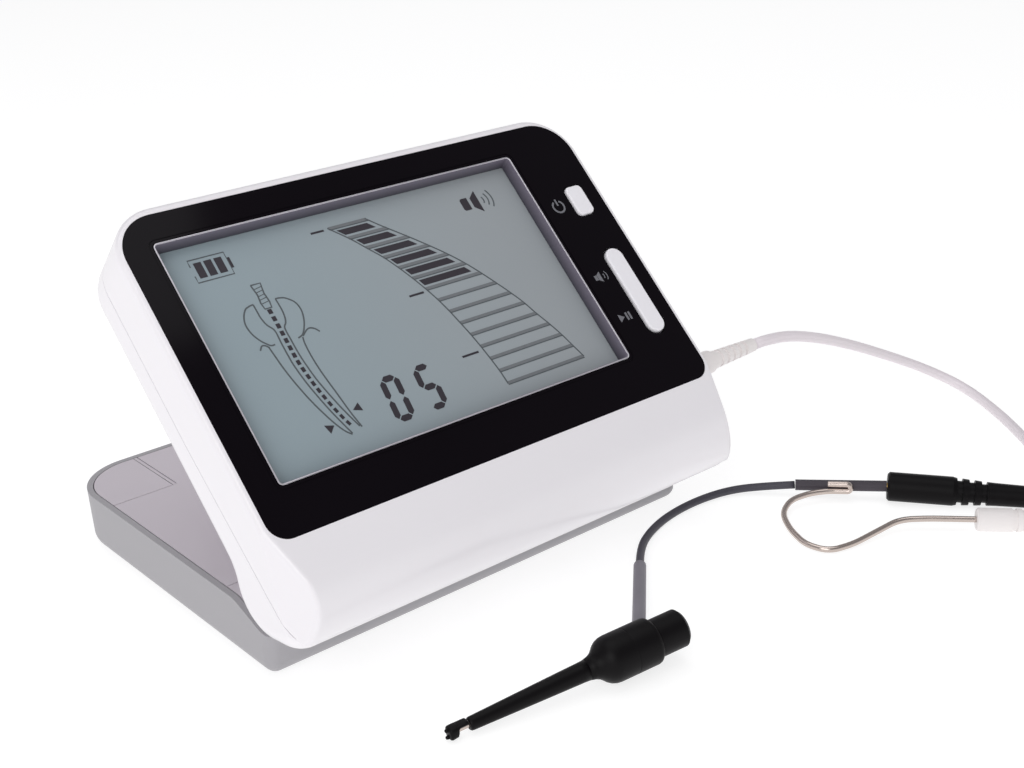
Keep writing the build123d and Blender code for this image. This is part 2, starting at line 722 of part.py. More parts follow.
def battery_door():
    door = block(-door_width / 2 + 0.2, door_width / 2 - 0.2, door_y - door_depth / 2 + 0.2,
                 door_y + door_depth / 2 - 0.2, foot_height, foot_height + door_thick)
    door = door - rod((0, door_screw_y(), 0), (0, door_screw_y(), 10), screw_radius + 0.2)
    door = door - rod((0, door_screw_y(), 0), (0, door_screw_y(), foot_height + 0.7), 2.2)
    for i in range(5):
        y = door_y + 8.0 + 1.6 * i
        door = door - block(-8, 8, y, y + 0.7, 0, foot_height + 0.3)
    return door


def door_screw_y():
    return door_y - door_depth / 2 + 2.6


def door_screw():
    y, seat = door_screw_y(), foot_height + 0.7
    head = rod((0, y, foot_height + 0.1), (0, y, seat), head_radius)
    return head + rod((0, y, seat), (0, y, foot_height + 4.0), screw_radius)


def battery_cell():
    low = foot_height + base_wall + 0.1
    cell = Pos(0, door_y + 1.2, low + cell_height / 2) * Box(cell_width, cell_depth, cell_height)
    return fillet(cell.edges().filter_by(Axis.Y), 2.0)


def power_board():
    low = foot_height + charge_up - charge_height / 2 - 0.3 - board_thick
    x0, y1 = charge_across - 16, base_rear - base_wall - 2.2
    board = block(x0, x0 + 32, y1 - 12, y1, low, low + board_thick)
    feet = [rod((x, y1 - 10, foot_height + base_wall), (x, y1 - 10, low), 1.6) for x in (x0 + 3, x0 + 29)]
    return board, feet


def charge_socket():
    """Small flat charging inlet at the back of the base, open to the rear."""
    z = foot_height + charge_up
    y1 = base_rear - base_wall
    can = block(charge_across - charge_width / 2 - 0.3, charge_across + charge_width / 2 + 0.3, y1 - charge_depth, y1,
                z - charge_height / 2 - 0.3, z + charge_height / 2 + 0.3)
    can = can - block(charge_across - charge_width / 2, charge_across + charge_width / 2, y1 - charge_depth + 1, y1 + 1,
                      z - charge_height / 2, z + charge_height / 2)
    return can + block(charge_across - 3.2, charge_across + 3.2, y1 - charge_depth + 0.5, y1 - 1.2, z - 0.35, z + 0.35)


def rubber_feet():
    feet = [rod((x, y, 0), (x, y, foot_height + 0.8), foot_radius) for x, y in foot_spots()]
    return [fillet(f.faces().sort_by(Axis.Z)[0].edges(), 0.4) for f in feet]


# ---- cables --------------------------------------------------------------------------------
def arc_radii(points, share=0.45):
    """One arc for each corner: its share of the shorter run over the tangent of half the turn."""
    radii = []
    for a, b, c in zip(points, points[1:], points[2:]):
        one, two = Vector(*b) - Vector(*a), Vector(*c) - Vector(*b)
        radii.append(share * min(one.length, two.length) / tan(radians(one.get_angle(two)) / 2))
    return radii


def cable(name, points, radius, share=0.45):
    radii = arc_radii(points, share)
    path = FilletPolyline(*points, radius=radii)
    tube = sweep(Plane(origin=path @ 0, z_dir=path % 0) * Circle(radius), path=path)
    even = tube.volume / (pi * radius ** 2 * path.length)
    print(f"{name}: length {path.length:.1f}, tightest arc {min(radii):.1f}, volume over section x length {even:.4f}")
    return tube


def harness():
    """Inner cable, in two pieces that meet on the hinge axis."""
    y, z = hinge_y, hinge_height
    foot = (harness_side, y + ear_foot[0] + 0.5, z + ear_foot[1])
    low = cable("harness_base", [(harness_side, y + 22, foot_height + 5.0), (harness_side, y + 15, foot_height + 5.4),
                                 foot, (harness_side, y, z), (harness_side - 7, y, z)], harness_radius)
    x = harness_side - 7.3
    up = cable("harness_display", [(x, hinge_v, hinge_w), (x - 8, hinge_v, hinge_w), (x - 8, hinge_v + 7, -board_front - board_thick - 2.0),
                                   (x - 8, board_low + 6, -board_front - board_thick - 2.0)], harness_radius)
    return low, up


def harness_plug():
    x, y = harness_side - 15.3, board_low + 6
    back = -board_front - board_thick
    return block(x - 4, x + 4, y, y + 5, back - 4, back)


def measuring_plug():
    """Plug housing outside the socket with its contact pin inside; strain relief behind it."""
    face = half_width + 0.2
    body = rod((face, socket_up, -socket_back), (face + plug_length, socket_up, -socket_back), plug_radius)
    body = fillet(body.faces().sort_by(Axis.X)[0].edges(), 0.4)
    body = chamfer(body.faces().sort_by(Axis.X)[-1].edges(), 0.5)
    pin = rod((half_width - socket_length + 1, socket_up, -socket_back), (face + 1, socket_up, -socket_back),
              plug_pin_radius)
    return body + pin


def strain_relief():
    start = half_width + 0.2 + plug_length
    cone = Plane(origin=(start, socket_up, -socket_back), z_dir=(1, 0, 0)) * Cone(
        relief_radius, cable_radius + 0.3, relief_length, align=(Align.CENTER, Align.CENTER, Align.MIN))
    for i in range(5):
        x = start + 2.0 + 2.4 * i
        size = relief_radius + 1 - 0.05 * i
        groove = rod((x, socket_up, -socket_back), (x + 0.9, socket_up, -socket_back), size)
        core = rod((x - 0.1, socket_up, -socket_back), (x + 1.0, socket_up, -socket_back),
                   relief_radius - 0.45 - 0.14 * i)
        cone = cone - (groove - core)
    return cone


# ---- cables and accessories on the table ------------------------------------------------------
measuring_route = [(99.0, -36.81, 34.6), (113.0, -38.65, 30.8), (130.0, -38.95, 23.6), (147.0, -39.05, 15.4),
                   (160.0, -40.85, 8.8), (166.5, -50.55, 3.9), (161.5, -65.55, 1.9), (152.0, -80.55, 1.5),
                   (143.0, -92.55, 1.5), (139.8, -102.25, 1.5)]
coil_centre = (160.0, -114.05)
tail_route = [(138.0, -122.25, 1.5), (138.8, -133.05, 1.5), (140.9, -141.55, 1.6)]
splitter_at = (140.9, -149.05)
black_branch = [(139.0, -156.15, 1.2), (139.2, -167.05, 1.0), (134.8, -171.45, 1.0), (128.8, -171.25, 1.0),
                (124.6, -166.85, 1.0), (124.9, -155.55, 1.0), (127.6, -143.05, 1.0), (131.4, -132.05, 1.0),
                (132.2, -121.55, 1.1), (129.8, -113.65, 1.9)]
white_branch = [(142.8, -156.15, 1.2), (142.9, -168.05, 1.0), (134.0, -180.05, 1.0), (121.0, -174.05, 1.0),
                (118.0, -159.05, 1.0), (122.0, -143.05, 1.0), (126.6, -133.05, 1.3), (125.9, -126.25, 2.3)]
black_front, black_aim = (98.9, -74.55, 3.7), (0.622, -0.783, 0.0)
white_front, white_aim = (100.9, -99.55, 2.9), (0.684, -0.729, 0.0)
sleeve_start = (84.1, -57.0, 3.0)
lead_route = [(27.3, -57.85, 2.0), (34.0, -51.05, 1.2), (42.3, -46.25, 1.0), (52.0, -43.45, 1.0), (62.8, -42.85, 1.0),
              (72.6, -45.05, 1.3), (79.4, -50.65, 2.0), (84.0, -56.85, 3.0)]
clip_end, clip_tip = (8.9, -88.95, 7.1), (-47.2, -78.75, 1.6)
hook_route = [(88.0, -86.45, 2.6), (80.6, -85.45, 1.7), (72.5, -84.65, 1.0), (66.0, -82.65, 0.85), (64.6, -76.65, 0.85),
              (67.4, -69.45, 1.1), (71.5, -63.45, 1.8), (77.6, -60.95, 2.4), (83.4, -62.35, 2.7), (87.2, -64.75, 2.9),
              (91.1, -69.15, 3.0), (91.2, -68.8, 4.75), (87.6, -64.65, 4.7)]
hook_straight = 11.5      # shank outside the white connector


def cable_exit():
    """End of the strain relief, where the measuring cable leaves it."""
    x = half_width + 0.25 + plug_length + relief_length
    dv, dw = socket_up - hinge_v, -socket_back - hinge_w
    return (x, hinge_y + dv * lean_cos - dw * lean_sin, hinge_height + dv * lean_sin + dw * lean_cos)


def along(start, aim, run):
    return tuple(p + a * run for p, a in zip(start, aim))


def coil():
    """Outer shape of the wound spare cable."""
    ring = Pos(*coil_centre, coil_half) * (Cylinder(coil_mean + coil_half, 2 * coil_half)
                                           - Cylinder(coil_mean - coil_half, 4 * coil_half))
    return fillet(ring.edges(), 1.4)


def splitter():
    x, y = splitter_at
    body = Pos(x, y, 2.5) * Box(8.4, 14.0, 5.0)
    body = fillet(body.edges().filter_by(Axis.Y), 1.6)
    return chamfer(body.faces().sort_by(Axis.Y)[0].edges() + body.faces().sort_by(Axis.Y)[-1].edges(), 0.5)


def turned(start, aim, profile):
    """Solid turned about an axis: profile is a list of (distance along, radius)."""
    outline = [(0.0, profile[0][0])] + [(r, s) for s, r in profile] + [(0.0, profile[-1][0])]
    face = Plane.XZ * Polygon(*outline, align=None)
    body = revolve(face, Axis.Z)
    return Plane(origin=start, z_dir=aim) * body


def black_connector():
    aim = (black_aim[0], black_aim[1], -(black_radius - black_tail) / black_length)
    profile = [(0.0, black_radius - 0.5), (0.5, black_radius), (16.0, black_radius)]
    for i in range(3):
        s, r = 17.0 + 3.0 * i, black_radius - 0.25 - 0.2 * i
        profile += [(s, r), (s, r - 0.7), (s + 1.4, r - 0.7), (s + 1.4, r - 0.05)]
    profile += [(26.5, black_radius - 0.8), (black_length - 0.4, black_tail), (black_length, black_tail - 0.3)]
    body = turned(black_front, aim, profile)
    return body - rod(along(black_front, aim, -1), along(black_front, aim, 10.0), sleeve_core + bore_gap)


def lead_pin():
    """Contact pin of the clip lead, inside the black connector."""
    aim = (black_aim[0], black_aim[1], -(black_radius - black_tail) / black_length)
    return rod(along(black_front, aim, -1.0), along(black_front, aim, 9.0), sleeve_core)


def white_connector():
    profile = [(0.0, white_radius - 0.4), (0.4, white_radius), (8.0, white_radius)]
    for i in range(7):
        s = 8.5 + 2.2 * i
        profile += [(s, white_radius), (s, white_radius - 0.35), (s + 1.0, white_radius - 0.35), (s + 1.0, white_radius)]
    profile += [(25.5, white_radius), (white_length, white_radius - 1.2)]
    body = turned(white_front, white_aim, profile)
    bore = hook_in + hook_fit
    return body - rod(along(white_front, white_aim, -1), along(white_front, white_aim, bore), hook_radius + bore_gap)


def lip_hook():
    """One bent steel wire: straight shank, a wide loop and a narrow end above the long sleeve."""
    points = [along(white_front, white_aim, hook_in), along(white_front, white_aim, -hook_straight)] + hook_route
    radii = arc_radii(points)
    path = FilletPolyline(*points, radius=radii)
    wire = sweep(Plane(origin=path @ 0, z_dir=path % 0) * Circle(hook_radius), path=path)
    return wire


def clip_axis():
    run = Vector(*clip_tip) - Vector(*clip_end)
    return run.normalized(), run.length


def clip_turned(profile):
    aim, _ = clip_axis()
    return turned(clip_end, (aim.X, aim.Y, aim.Z), profile)


def clip_body():
    """Barrel and long nose of the file clip, bored for the plunger."""
    back = cap_length - 0.5
    neck = back + clip_length
    nose = neck + 2.5
    body = clip_turned([(back, clip_radius - 0.6), (back + 0.6, clip_radius), (neck - 2.0, clip_radius), (neck, 3.4),
                        (nose, nose_wide), (nose + nose_length - 3.5, nose_slim), (nose + nose_length - 3.0, nose_slim - 0.3)])
    wide_bore = clip_turned([(0.0, cap_radius + 0.12), (back + cap_travel + 3.0, cap_radius + 0.12),
                             (back + cap_travel + 4.0, 2.6), (back + cap_travel + 6.0, 2.6)])
    foot, run = clip_outlet()
    start, end = foot + run * (clip_radius - 0.3), foot + run * (outlet_reach - 0.1)
    body = body + rod((start.X, start.Y, start.Z), (end.X, end.Y, end.Z), sleeve_radius + 0.5)
    return body - wide_bore - clip_turned([(0.0, clip_rod_radius + 0.08), (80.0, clip_rod_radius + 0.08)])


def clip_cap():
    """Push cap of the file clip, with a ridged edge."""
    inner = cap_length + 2.0
    return clip_turned([(0.0, cap_radius - 0.7), (0.7, cap_radius), (inner, cap_radius), (inner, clip_rod_radius)]) \
        - clip_turned([(1.5, clip_rod_radius), (inner + 1, clip_rod_radius)])


def clip_rod():
    _, reach = clip_axis()
    return clip_turned([(1.5, clip_rod_radius), (reach - 1.0, clip_rod_radius)])


def clip_jaw():
    _, reach = clip_axis()
    start = reach - jaw_length
    jaw = clip_turned([(start, jaw_radius), (reach - 0.3, jaw_radius), (reach, jaw_radius - 0.3)])
    return jaw - clip_turned([(start - 1, clip_rod_radius), (reach - 1.0, clip_rod_radius)])


def clip_spring():
    """Return spring round the plunger rod, drawn at its pressed length against the barrel's shoulder."""
    end = cap_length - 0.5 + cap_travel + 5.9
    start = end - spring_pressed
    helix = Helix(pitch=(end - start - 0.5) / 5.0, height=end - start - 0.5, radius=2.0)
    wire = sweep(Plane(origin=helix @ 0, z_dir=helix % 0) * Circle(0.22), path=helix)
    aim, _ = clip_axis()
    return Plane(origin=Vector(*clip_end) + aim * (start + 0.25), z_dir=aim) * wire


def clip_sleeve():
    """Sleeve over the lead where it leaves the side of the file clip."""
    foot, run = clip_outlet()
    start, end = foot + run * outlet_reach, Vector(*lead_route[0]) - run * 0.15
    return rod((start.X, start.Y, start.Z), (end.X, end.Y, end.Z), sleeve_radius + 0.1)


def clip_outlet():
    """Point on the clip's axis under its lead, and the direction in which the lead leaves."""
    aim, _ = clip_axis()
    foot = Vector(*clip_end) + aim * (cap_length + 3.0)
    return foot, (Vector(*lead_route[0]) - foot).normalized()


def long_sleeve():
    aim = (Vector(*black_front) - Vector(*sleeve_start)).normalized()
    end = Vector(*black_front) - aim * 0.15
    return rod(sleeve_start, (end.X, end.Y, end.Z), sleeve_radius) - lead_pin()


pieces = {}
outer_front, outer_rear = housing(0, front_edge, facet_soft_front), housing(0, back_edge, facet_soft_rear)
inner = housing(shell_wall, back_edge - shell_wall)
pieces["front_shell"] = on_panel(front_shell(outer_front, inner))
pieces["rear_shell"] = on_panel(rear_shell(outer_rear, inner))
pieces["bezel_panel"] = on_panel(bezel_panel())
pieces["lcd_frame"] = on_panel(lcd_frame())
glass, light, strip = lcd_stack()
pieces["lcd_glass"] = on_panel(glass)
pieces["lcd_backlight"] = on_panel(light)
pieces["lcd_connector"] = on_panel(strip)
pieces["main_board"] = on_panel(main_board())
pieces["board_chips"] = on_panel(*board_chips())
pieces["tact_switches"] = on_panel(*tact_switches())
pieces["power_key"] = on_panel(power_key())
pieces["mode_rocker"] = on_panel(mode_rocker())
pieces["probe_socket"] = on_panel(probe_socket())
pieces["buzzer"] = on_panel(rod((24.0, 16.0, -board_front - board_thick - 4.6), (24.0, 16.0, -board_front - board_thick), 6.0))
pieces["shell_screws"] = on_panel(*shell_screws())
for side, word in ((-1, "left"), (1, "right")):
    pieces[f"hinge_bracket_{word}"] = [hinge_ear(side)]
    pieces[f"hinge_leaf_{word}"] = on_panel(hinge_leaf(side))
pieces["leaf_screws"] = on_panel(*leaf_screws())
pieces["hinge_shafts"] = hinge_shafts()
pieces["friction_washers"] = friction_washers()
pieces["retaining_rings"] = retaining_rings()
outer_base, layer = base_outer(), cover_layer()
tray = base_tray(outer_base)
pads, holes = bracket_seats()
for pad in pads:
    tray = tray + pad
for hole in holes:
    tray = tray - hole
power, power_feet = power_board()
for foot in power_feet:
    tray = tray + foot
pieces["base_tray"] = [tray]
pieces["base_cover"] = [base_cover(layer)]
pieces["hinge_cover"] = [hinge_cover(layer)]
pieces["service_cover"] = [service_cover(layer)]
pieces["base_screws"] = base_screws()
pieces["bracket_screws"] = bracket_screws()
pieces["battery_door"] = [battery_door()]
pieces["door_screw"] = [door_screw()]
pieces["battery_cell"] = [battery_cell()]
pieces["power_board"] = [power]
pieces["charge_socket"] = [charge_socket()]
pieces["rubber_feet"] = rubber_feet()
low, up = harness()
pieces["harness_base"] = [low]
pieces["harness_display"] = on_panel(up)
pieces["harness_plug"] = on_panel(harness_plug())
pieces["measuring_plug"] = on_panel(measuring_plug())
pieces["strain_relief"] = on_panel(strain_relief())
pieces["measuring_cable"] = [cable("measuring_cable", [cable_exit()] + measuring_route, cable_radius)]
pieces["cable_coil"] = [coil()]
pieces["cable_tail"] = [cable("cable_tail", tail_route, cable_radius)]
pieces["cable_splitter"] = [splitter()]
pieces["black_connector"] = [black_connector()]
pieces["white_connector"] = [white_connector()]
black_rear = along(black_front, (*black_aim[:2], -(black_radius - black_tail) / black_length), black_length + 0.2)
white_rear = along(white_front, white_aim, white_length + 0.2)
pieces["branch_lead_black"] = [cable("branch_lead_black", black_branch + [black_rear], branch_radius)]
pieces["branch_lead_white"] = [cable("branch_lead_white", white_branch + [white_rear], branch_radius)]
pieces["lead_sleeve_long"] = [long_sleeve()]
pieces["lead_pin"] = [lead_pin()]
pieces["clip_lead"] = [cable("clip_lead", lead_route, lead_radius)]
pieces["lead_sleeve_short"] = [clip_sleeve()]
pieces["clip_body"] = [clip_body()]
pieces["clip_cap"] = [clip_cap()]
pieces["clip_rod"] = [clip_rod()]
pieces["clip_jaw"] = [clip_jaw()]
pieces["clip_spring"] = [clip_spring()]
pieces["lip_hook"] = [lip_hook()]

os.makedirs("parts", exist_ok=True)
for name, solids in pieces.items():
    write(name, *solids)
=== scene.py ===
import bmesh
import bpy
import json
import math
import numpy as np
from mathutils import Matrix, Vector


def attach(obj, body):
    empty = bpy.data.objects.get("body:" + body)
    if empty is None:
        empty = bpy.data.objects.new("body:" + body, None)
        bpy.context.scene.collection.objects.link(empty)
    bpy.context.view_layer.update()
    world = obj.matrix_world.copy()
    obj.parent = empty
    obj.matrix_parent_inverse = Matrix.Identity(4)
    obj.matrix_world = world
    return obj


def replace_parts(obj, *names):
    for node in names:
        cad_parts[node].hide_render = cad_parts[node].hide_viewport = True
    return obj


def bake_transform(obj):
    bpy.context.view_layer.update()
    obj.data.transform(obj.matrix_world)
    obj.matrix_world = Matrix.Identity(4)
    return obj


# Apex locator: a tilting screen unit on a wedge base, its measuring cable, lip hook and file clip.
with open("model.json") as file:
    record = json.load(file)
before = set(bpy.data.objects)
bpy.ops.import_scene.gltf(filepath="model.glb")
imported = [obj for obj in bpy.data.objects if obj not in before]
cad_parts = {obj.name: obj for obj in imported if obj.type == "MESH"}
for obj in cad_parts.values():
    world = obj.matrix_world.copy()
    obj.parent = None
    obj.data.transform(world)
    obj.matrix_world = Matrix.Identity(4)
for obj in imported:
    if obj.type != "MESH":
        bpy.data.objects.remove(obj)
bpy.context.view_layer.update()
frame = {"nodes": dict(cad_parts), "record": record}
cadNodes = frame["nodes"]
scene = bpy.context.scene
print("frame loaded:", len(cadNodes), "nodes")

# where the camera stands in metres, with its right and up directions; lens and sensor in millimetres
view = {"place": (-0.1954, -0.2843, 0.18205),
        "right": (0.7626, -0.6459, -0.0362), "up": (0.2754, 0.2734, 0.9216),
        "lens": 54.0, "sensor": 36.0}


def makeCamera(setup):
    data = bpy.data.cameras.new("studioCamera")
    data.lens, data.sensor_width, data.clip_start = setup["lens"], setup["sensor"], 0.01
    camera = bpy.data.objects.new("studioCamera", data)
    scene.collection.objects.link(camera)
    right, up = Vector(setup["right"]).normalized(), Vector(setup["up"])
    back = right.cross(up).normalized()
    turn = Matrix((right, back.cross(right), back)).transposed().to_4x4()
    camera.matrix_world = Matrix.Translation(Vector(setup["place"])) @ turn
    scene.camera = camera


makeCamera(view)


def meshPiece(name, corners, faces, smooth=True, uv=None):
    # points and faces become one object; uv holds a pair per point and is spread to the face corners
    mesh = bpy.data.meshes.new(name)
    mesh.from_pydata(corners.tolist(), [], faces.tolist() if isinstance(faces, np.ndarray) else faces)
    if smooth:
        mesh.polygons.foreach_set("use_smooth", [True] * len(mesh.polygons))
    if uv is not None:
        layer = mesh.uv_layers.new(name="along")
        loops = np.zeros(len(mesh.loops), int)
        mesh.loops.foreach_get("vertex_index", loops)
        layer.data.foreach_set("uv", uv[loops].ravel())
    mesh.update()
    piece = bpy.data.objects.new(name, mesh)
    scene.collection.objects.link(piece)
    return piece


def facesOut(piece):
    # turns every face of a closed shell outwards
    work = bmesh.new()
    work.from_mesh(piece.data)
    bmesh.ops.recalc_face_normals(work, faces=work.faces)
    work.to_mesh(piece.data)
    work.free()
    return piece


def gridFaces(rows, columns, wrapRows=False):
    # cell (i, j) joins point (i, j) with its neighbours; columns always close, rows only when asked
    i, j = np.meshgrid(np.arange(rows if wrapRows else rows - 1), np.arange(columns), indexing="ij")
    a, b = i * columns + j, i * columns + (j + 1) % columns
    c, d = ((i + 1) % rows) * columns + (j + 1) % columns, ((i + 1) % rows) * columns + j
    return np.stack([a, b, c, d], -1).reshape(-1, 4)


def cappedFaces(rows, sides):
    # the cells between neighbouring rings, then a fan of triangles round the middle point of each end
    middle, last = rows * sides, (rows - 1) * sides
    faces = gridFaces(rows, sides).tolist()
    faces += [[middle, (j + 1) % sides, j] for j in range(sides)]
    faces += [[middle + 1, last + j, last + (j + 1) % sides] for j in range(sides)]
    return faces


def runAlong(line):
    # distance run at each point: the running sum of the steps between neighbours
    return np.concatenate([[0], np.cumsum(np.linalg.norm(np.diff(line, axis=0), axis=1))])


def carriedFrames(line):
    # tangent from neighbouring points; side is the last side with its part along the tangent taken off
    along = np.gradient(line, axis=0)
    along /= np.linalg.norm(along, axis=1)[:, None]
    side = np.zeros_like(line)
    side[0] = np.cross(along[0], (0.0, 0.0, 1.0))
    for k in range(1, len(line)):
        side[k] = side[k - 1] - along[k] * np.dot(side[k - 1], along[k])
        side[k] /= np.linalg.norm(side[k])
    side[0] /= np.linalg.norm(side[0])
    return along, side, np.cross(along, side)


def tubeAlong(name, line, radius, groove=0.0, grooveSpread=0.32, sides=16):
    # point = line + reach * (cos a * side + sin a * up), where
    # reach = radius * (1 - groove * exp(-(cos a / spread)^2)), so two grooves run along the tube
    along, side, up = carriedFrames(line)
    angle = np.linspace(0, 2 * np.pi, sides, endpoint=False)
    reach = radius * (1 - groove * np.exp(-(np.cos(angle) / grooveSpread) ** 2))
    ring = np.cos(angle)[:, None, None] * side + np.sin(angle)[:, None, None] * up
    body = (line + reach[:, None, None] * ring).transpose(1, 0, 2).reshape(-1, 3)
    run = runAlong(line)
    uv = np.stack([np.repeat(run, sides), np.tile(angle / (2 * np.pi), len(line))], -1)
    uv = np.vstack([uv, [[0, 0], [run[-1], 0]]])
    corners = np.vstack([body, line[:1], line[-1:]])
    return meshPiece(name, corners, cappedFaces(len(line), sides), uv=uv)


def splineLine(points, resolution):
    # NURBS line of order 3 with these points as its control points, read back as plain points
    curve = bpy.data.curves.new("cordLine", "CURVE")
    curve.dimensions = "3D"
    curve.resolution_u = resolution
    spline = curve.splines.new("NURBS")
    spline.points.add(len(points) - 1)
    spline.points.foreach_set("co", np.hstack([points, np.ones((len(points), 1))]).ravel())
    spline.order_u = 3
    spline.use_endpoint_u = True
    holder = bpy.data.objects.new("cordLine", curve)
    scene.collection.objects.link(holder)
    mesh = bpy.data.meshes.new_from_object(holder.evaluated_get(bpy.context.evaluated_depsgraph_get()))
    line = np.zeros(len(mesh.vertices) * 3)
    mesh.vertices.foreach_get("co", line)
    bpy.data.objects.remove(holder)
    bpy.data.meshes.remove(mesh)
    return line.reshape(-1, 3)


# from the relief into the coil and on to the splitter; millimetres and degrees where nothing else is said
measuringCable = {
    "route": [(89.25, -36.797, 34.623), (99.0, -36.81, 34.6), (113.0, -38.65, 30.8), (130.0, -38.95, 23.6),
              (147.0, -39.05, 15.4), (160.0, -40.85, 8.8), (166.5, -50.55, 3.9), (161.5, -65.55, 1.9),
              (152.0, -80.55, 1.5), (143.0, -92.55, 1.5), (139.8, -102.25, 1.5)],
    "tail": [(138.0, -122.25, 1.5), (138.8, -133.05, 1.5), (140.9, -141.55, 1.6)],
    "radius": 1.5, "groove": 0.13, "slot": "cable_white",
    "coilCentre": (160.0, -114.05), "entryAngle": 150.0, "exitAngle": 200.0,
    "entryReach": 23.4, "exitReach": 23.5, "floor": 1.5,
    "turns": 12, "perLayer": 3, "layerStep": 2.6, "reaches": [18.5, 15.5, 12.5, 14.0, 17.0, 20.0],
    "pointsPerTurn": 14,
    # shares of a turn: clear at both ends, taken to step over, and left where it goes out, is out and is down
    "clearOfEntry": 0.03, "clearOfExit": 0.02, "stepOver": 0.13, "leaves": 0.2, "outside": 0.05, "down": 0.08,
    # metres: where the bend between display and base starts and ends, and the length
    "bendsFrom": (0.0895, -0.0368, 0.0346), "bendsTo": (0.132, -0.039, 0.0225), "length": 1.38,
    "end": "fitting", "lay": "coiled",
    "on": ["cable_splitter", "measuring_plug", "strain_relief"]}


def easedSteps(at, knots, values):
    # between two knots the value moves as 3 t^2 - 2 t^3
    place = np.clip(np.searchsorted(knots, at, side="right") - 1, 0, len(knots) - 2)
    t = np.clip((at - knots[place]) / (knots[place + 1] - knots[place]), 0, 1)
    return values[place] + (values[place + 1] - values[place]) * t * t * (3 - 2 * t)


def coilPoints(c):
    # reach and height step from turn to turn in the first part of each turn, and the end slides down outside
    turns = c["turns"]
    sweep = turns + (c["exitAngle"] - c["entryAngle"]) / 360
    at = np.linspace(c["clearOfEntry"], sweep - c["clearOfExit"], int(sweep * c["pointsPerTurn"]))
    knots, reach, rise = [0.0], [c["entryReach"]], [c["floor"]]
    for k in range(turns):
        knots += [k + c["stepOver"], k + 1.0]
        reach += [c["reaches"][k % len(c["reaches"])]] * 2
        rise += [c["floor"] + c["layerStep"] * (k // c["perLayer"])] * 2
    knots[-1] = turns - c["leaves"]
    reachKnots = np.array(knots + [turns - c["outside"], sweep])
    riseKnots = np.array(knots[:-1] + [turns - c["down"], sweep])
    outReach = easedSteps(at, reachKnots, np.array(reach + [c["exitReach"]] * 2))
    outRise = easedSteps(at, riseKnots, np.array(rise + [c["floor"]]))
    angle = np.radians(c["entryAngle"] + 360 * at)
    x, y = c["coilCentre"]
    return np.stack([x + outReach * np.cos(angle), y + outReach * np.sin(angle), outRise], -1)


def makeMeasuringCable(c):
    # a tube along the route, the coil and the tail; its first stretch runs from the display down to the base
    line = splineLine(np.vstack([c["route"], coilPoints(c), c["tail"]]) / 1000, resolution=5)
    tube = tubeAlong("measuringCable", line, c["radius"] / 1000, c["groove"])
    print("measuring cable, exit to splitter:", round(float(runAlong(line)[-1]), 3), "m")
    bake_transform(tube)
    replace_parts(tube, "measuring_cable", "cable_coil", "cable_tail")
    return tube, line, c


# splitter to connectors, and pin to clip; millimetres, lengths in metres
branchLeads = {
    "black": {"radius": 1.0, "length": 0.09, "node": "branch_lead_black", "slot": "cable_grey",
              "end": "connector", "lay": "loose", "on": ["black_connector", "lead_pin", "lead_sleeve_long"],
              "route": [(139.0, -156.15, 1.2), (139.2, -167.05, 1.0), (134.8, -171.45, 1.0),
                        (128.8, -171.25, 1.0), (124.6, -166.85, 1.0), (124.9, -155.55, 1.0),
                        (127.6, -143.05, 1.0), (131.4, -132.05, 1.0), (132.2, -121.55, 1.1),
                        (129.8, -113.65, 1.9), (125.15, -107.6, 2.6)]},
    "white": {"radius": 1.0, "length": 0.093, "node": "branch_lead_white", "slot": "cable_white",
              "end": "connector", "lay": "loose", "on": ["white_connector", "lip_hook"],
              "route": [(142.8, -156.15, 1.2), (142.9, -168.05, 1.0), (134.0, -180.05, 1.0),
                        (121.0, -174.05, 1.0), (118.0, -159.05, 1.0), (122.0, -143.05, 1.0),
                        (126.6, -133.05, 1.3), (125.9, -126.25, 2.3), (121.56, -121.57, 2.9)]},
    "clip": {"radius": 1.0, "length": 0.066, "node": "clip_lead", "slot": "cable_grey",
             "end": "tool", "lay": "loose",
             "on": ["lead_sleeve_short", "clip_cap", "clip_rod", "clip_spring", "clipBarrel", "clipOutlet"],
             "route": [(84.0, -56.85, 3.0), (79.4, -50.65, 2.0), (72.6, -45.05, 1.3), (62.8, -42.85, 1.0),
                       (52.0, -43.45, 1.0), (42.3, -46.25, 1.0), (34.0, -51.05, 1.2), (27.3, -57.85, 2.0)]}}


def makeBranchLead(key, c):
    # round tube along its smoothed route
    line = splineLine(np.array(c["route"]) / 1000, resolution=9)
    tube = tubeAlong(key + "Lead", line, c["radius"] / 1000)
    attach(tube, "base")
    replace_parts(tube, c["node"])
    return tube, line, c


leads = [makeMeasuringCable(measuringCable)]
leads += [makeBranchLead(leadName, lead) for leadName, lead in branchLeads.items()]
print("cords made:", len(leads))


class Wire:
    # a socket that takes part in arithmetic; each operator adds one Math node
    def __init__(self, sheet, socket):
        self.sheet, self.socket = sheet, socket

    def work(self, operation, *values):
        return self.sheet.add("ShaderNodeMath", {"operation": operation}, dict(enumerate(values)))

    def __add__(self, other):
        return self.work("ADD", self, other)

    def __radd__(self, other):
        return self.work("ADD", other, self)

    def __sub__(self, other):
        return self.work("SUBTRACT", self, other)

    def __rsub__(self, other):
        return self.work("SUBTRACT", other, self)

    def __mul__(self, other):
        return self.work("MULTIPLY", self, other)

    def __rmul__(self, other):
        return self.work("MULTIPLY", other, self)

    def pick(self, name):
        return Wire(self.sheet, self.socket.node.outputs[name])


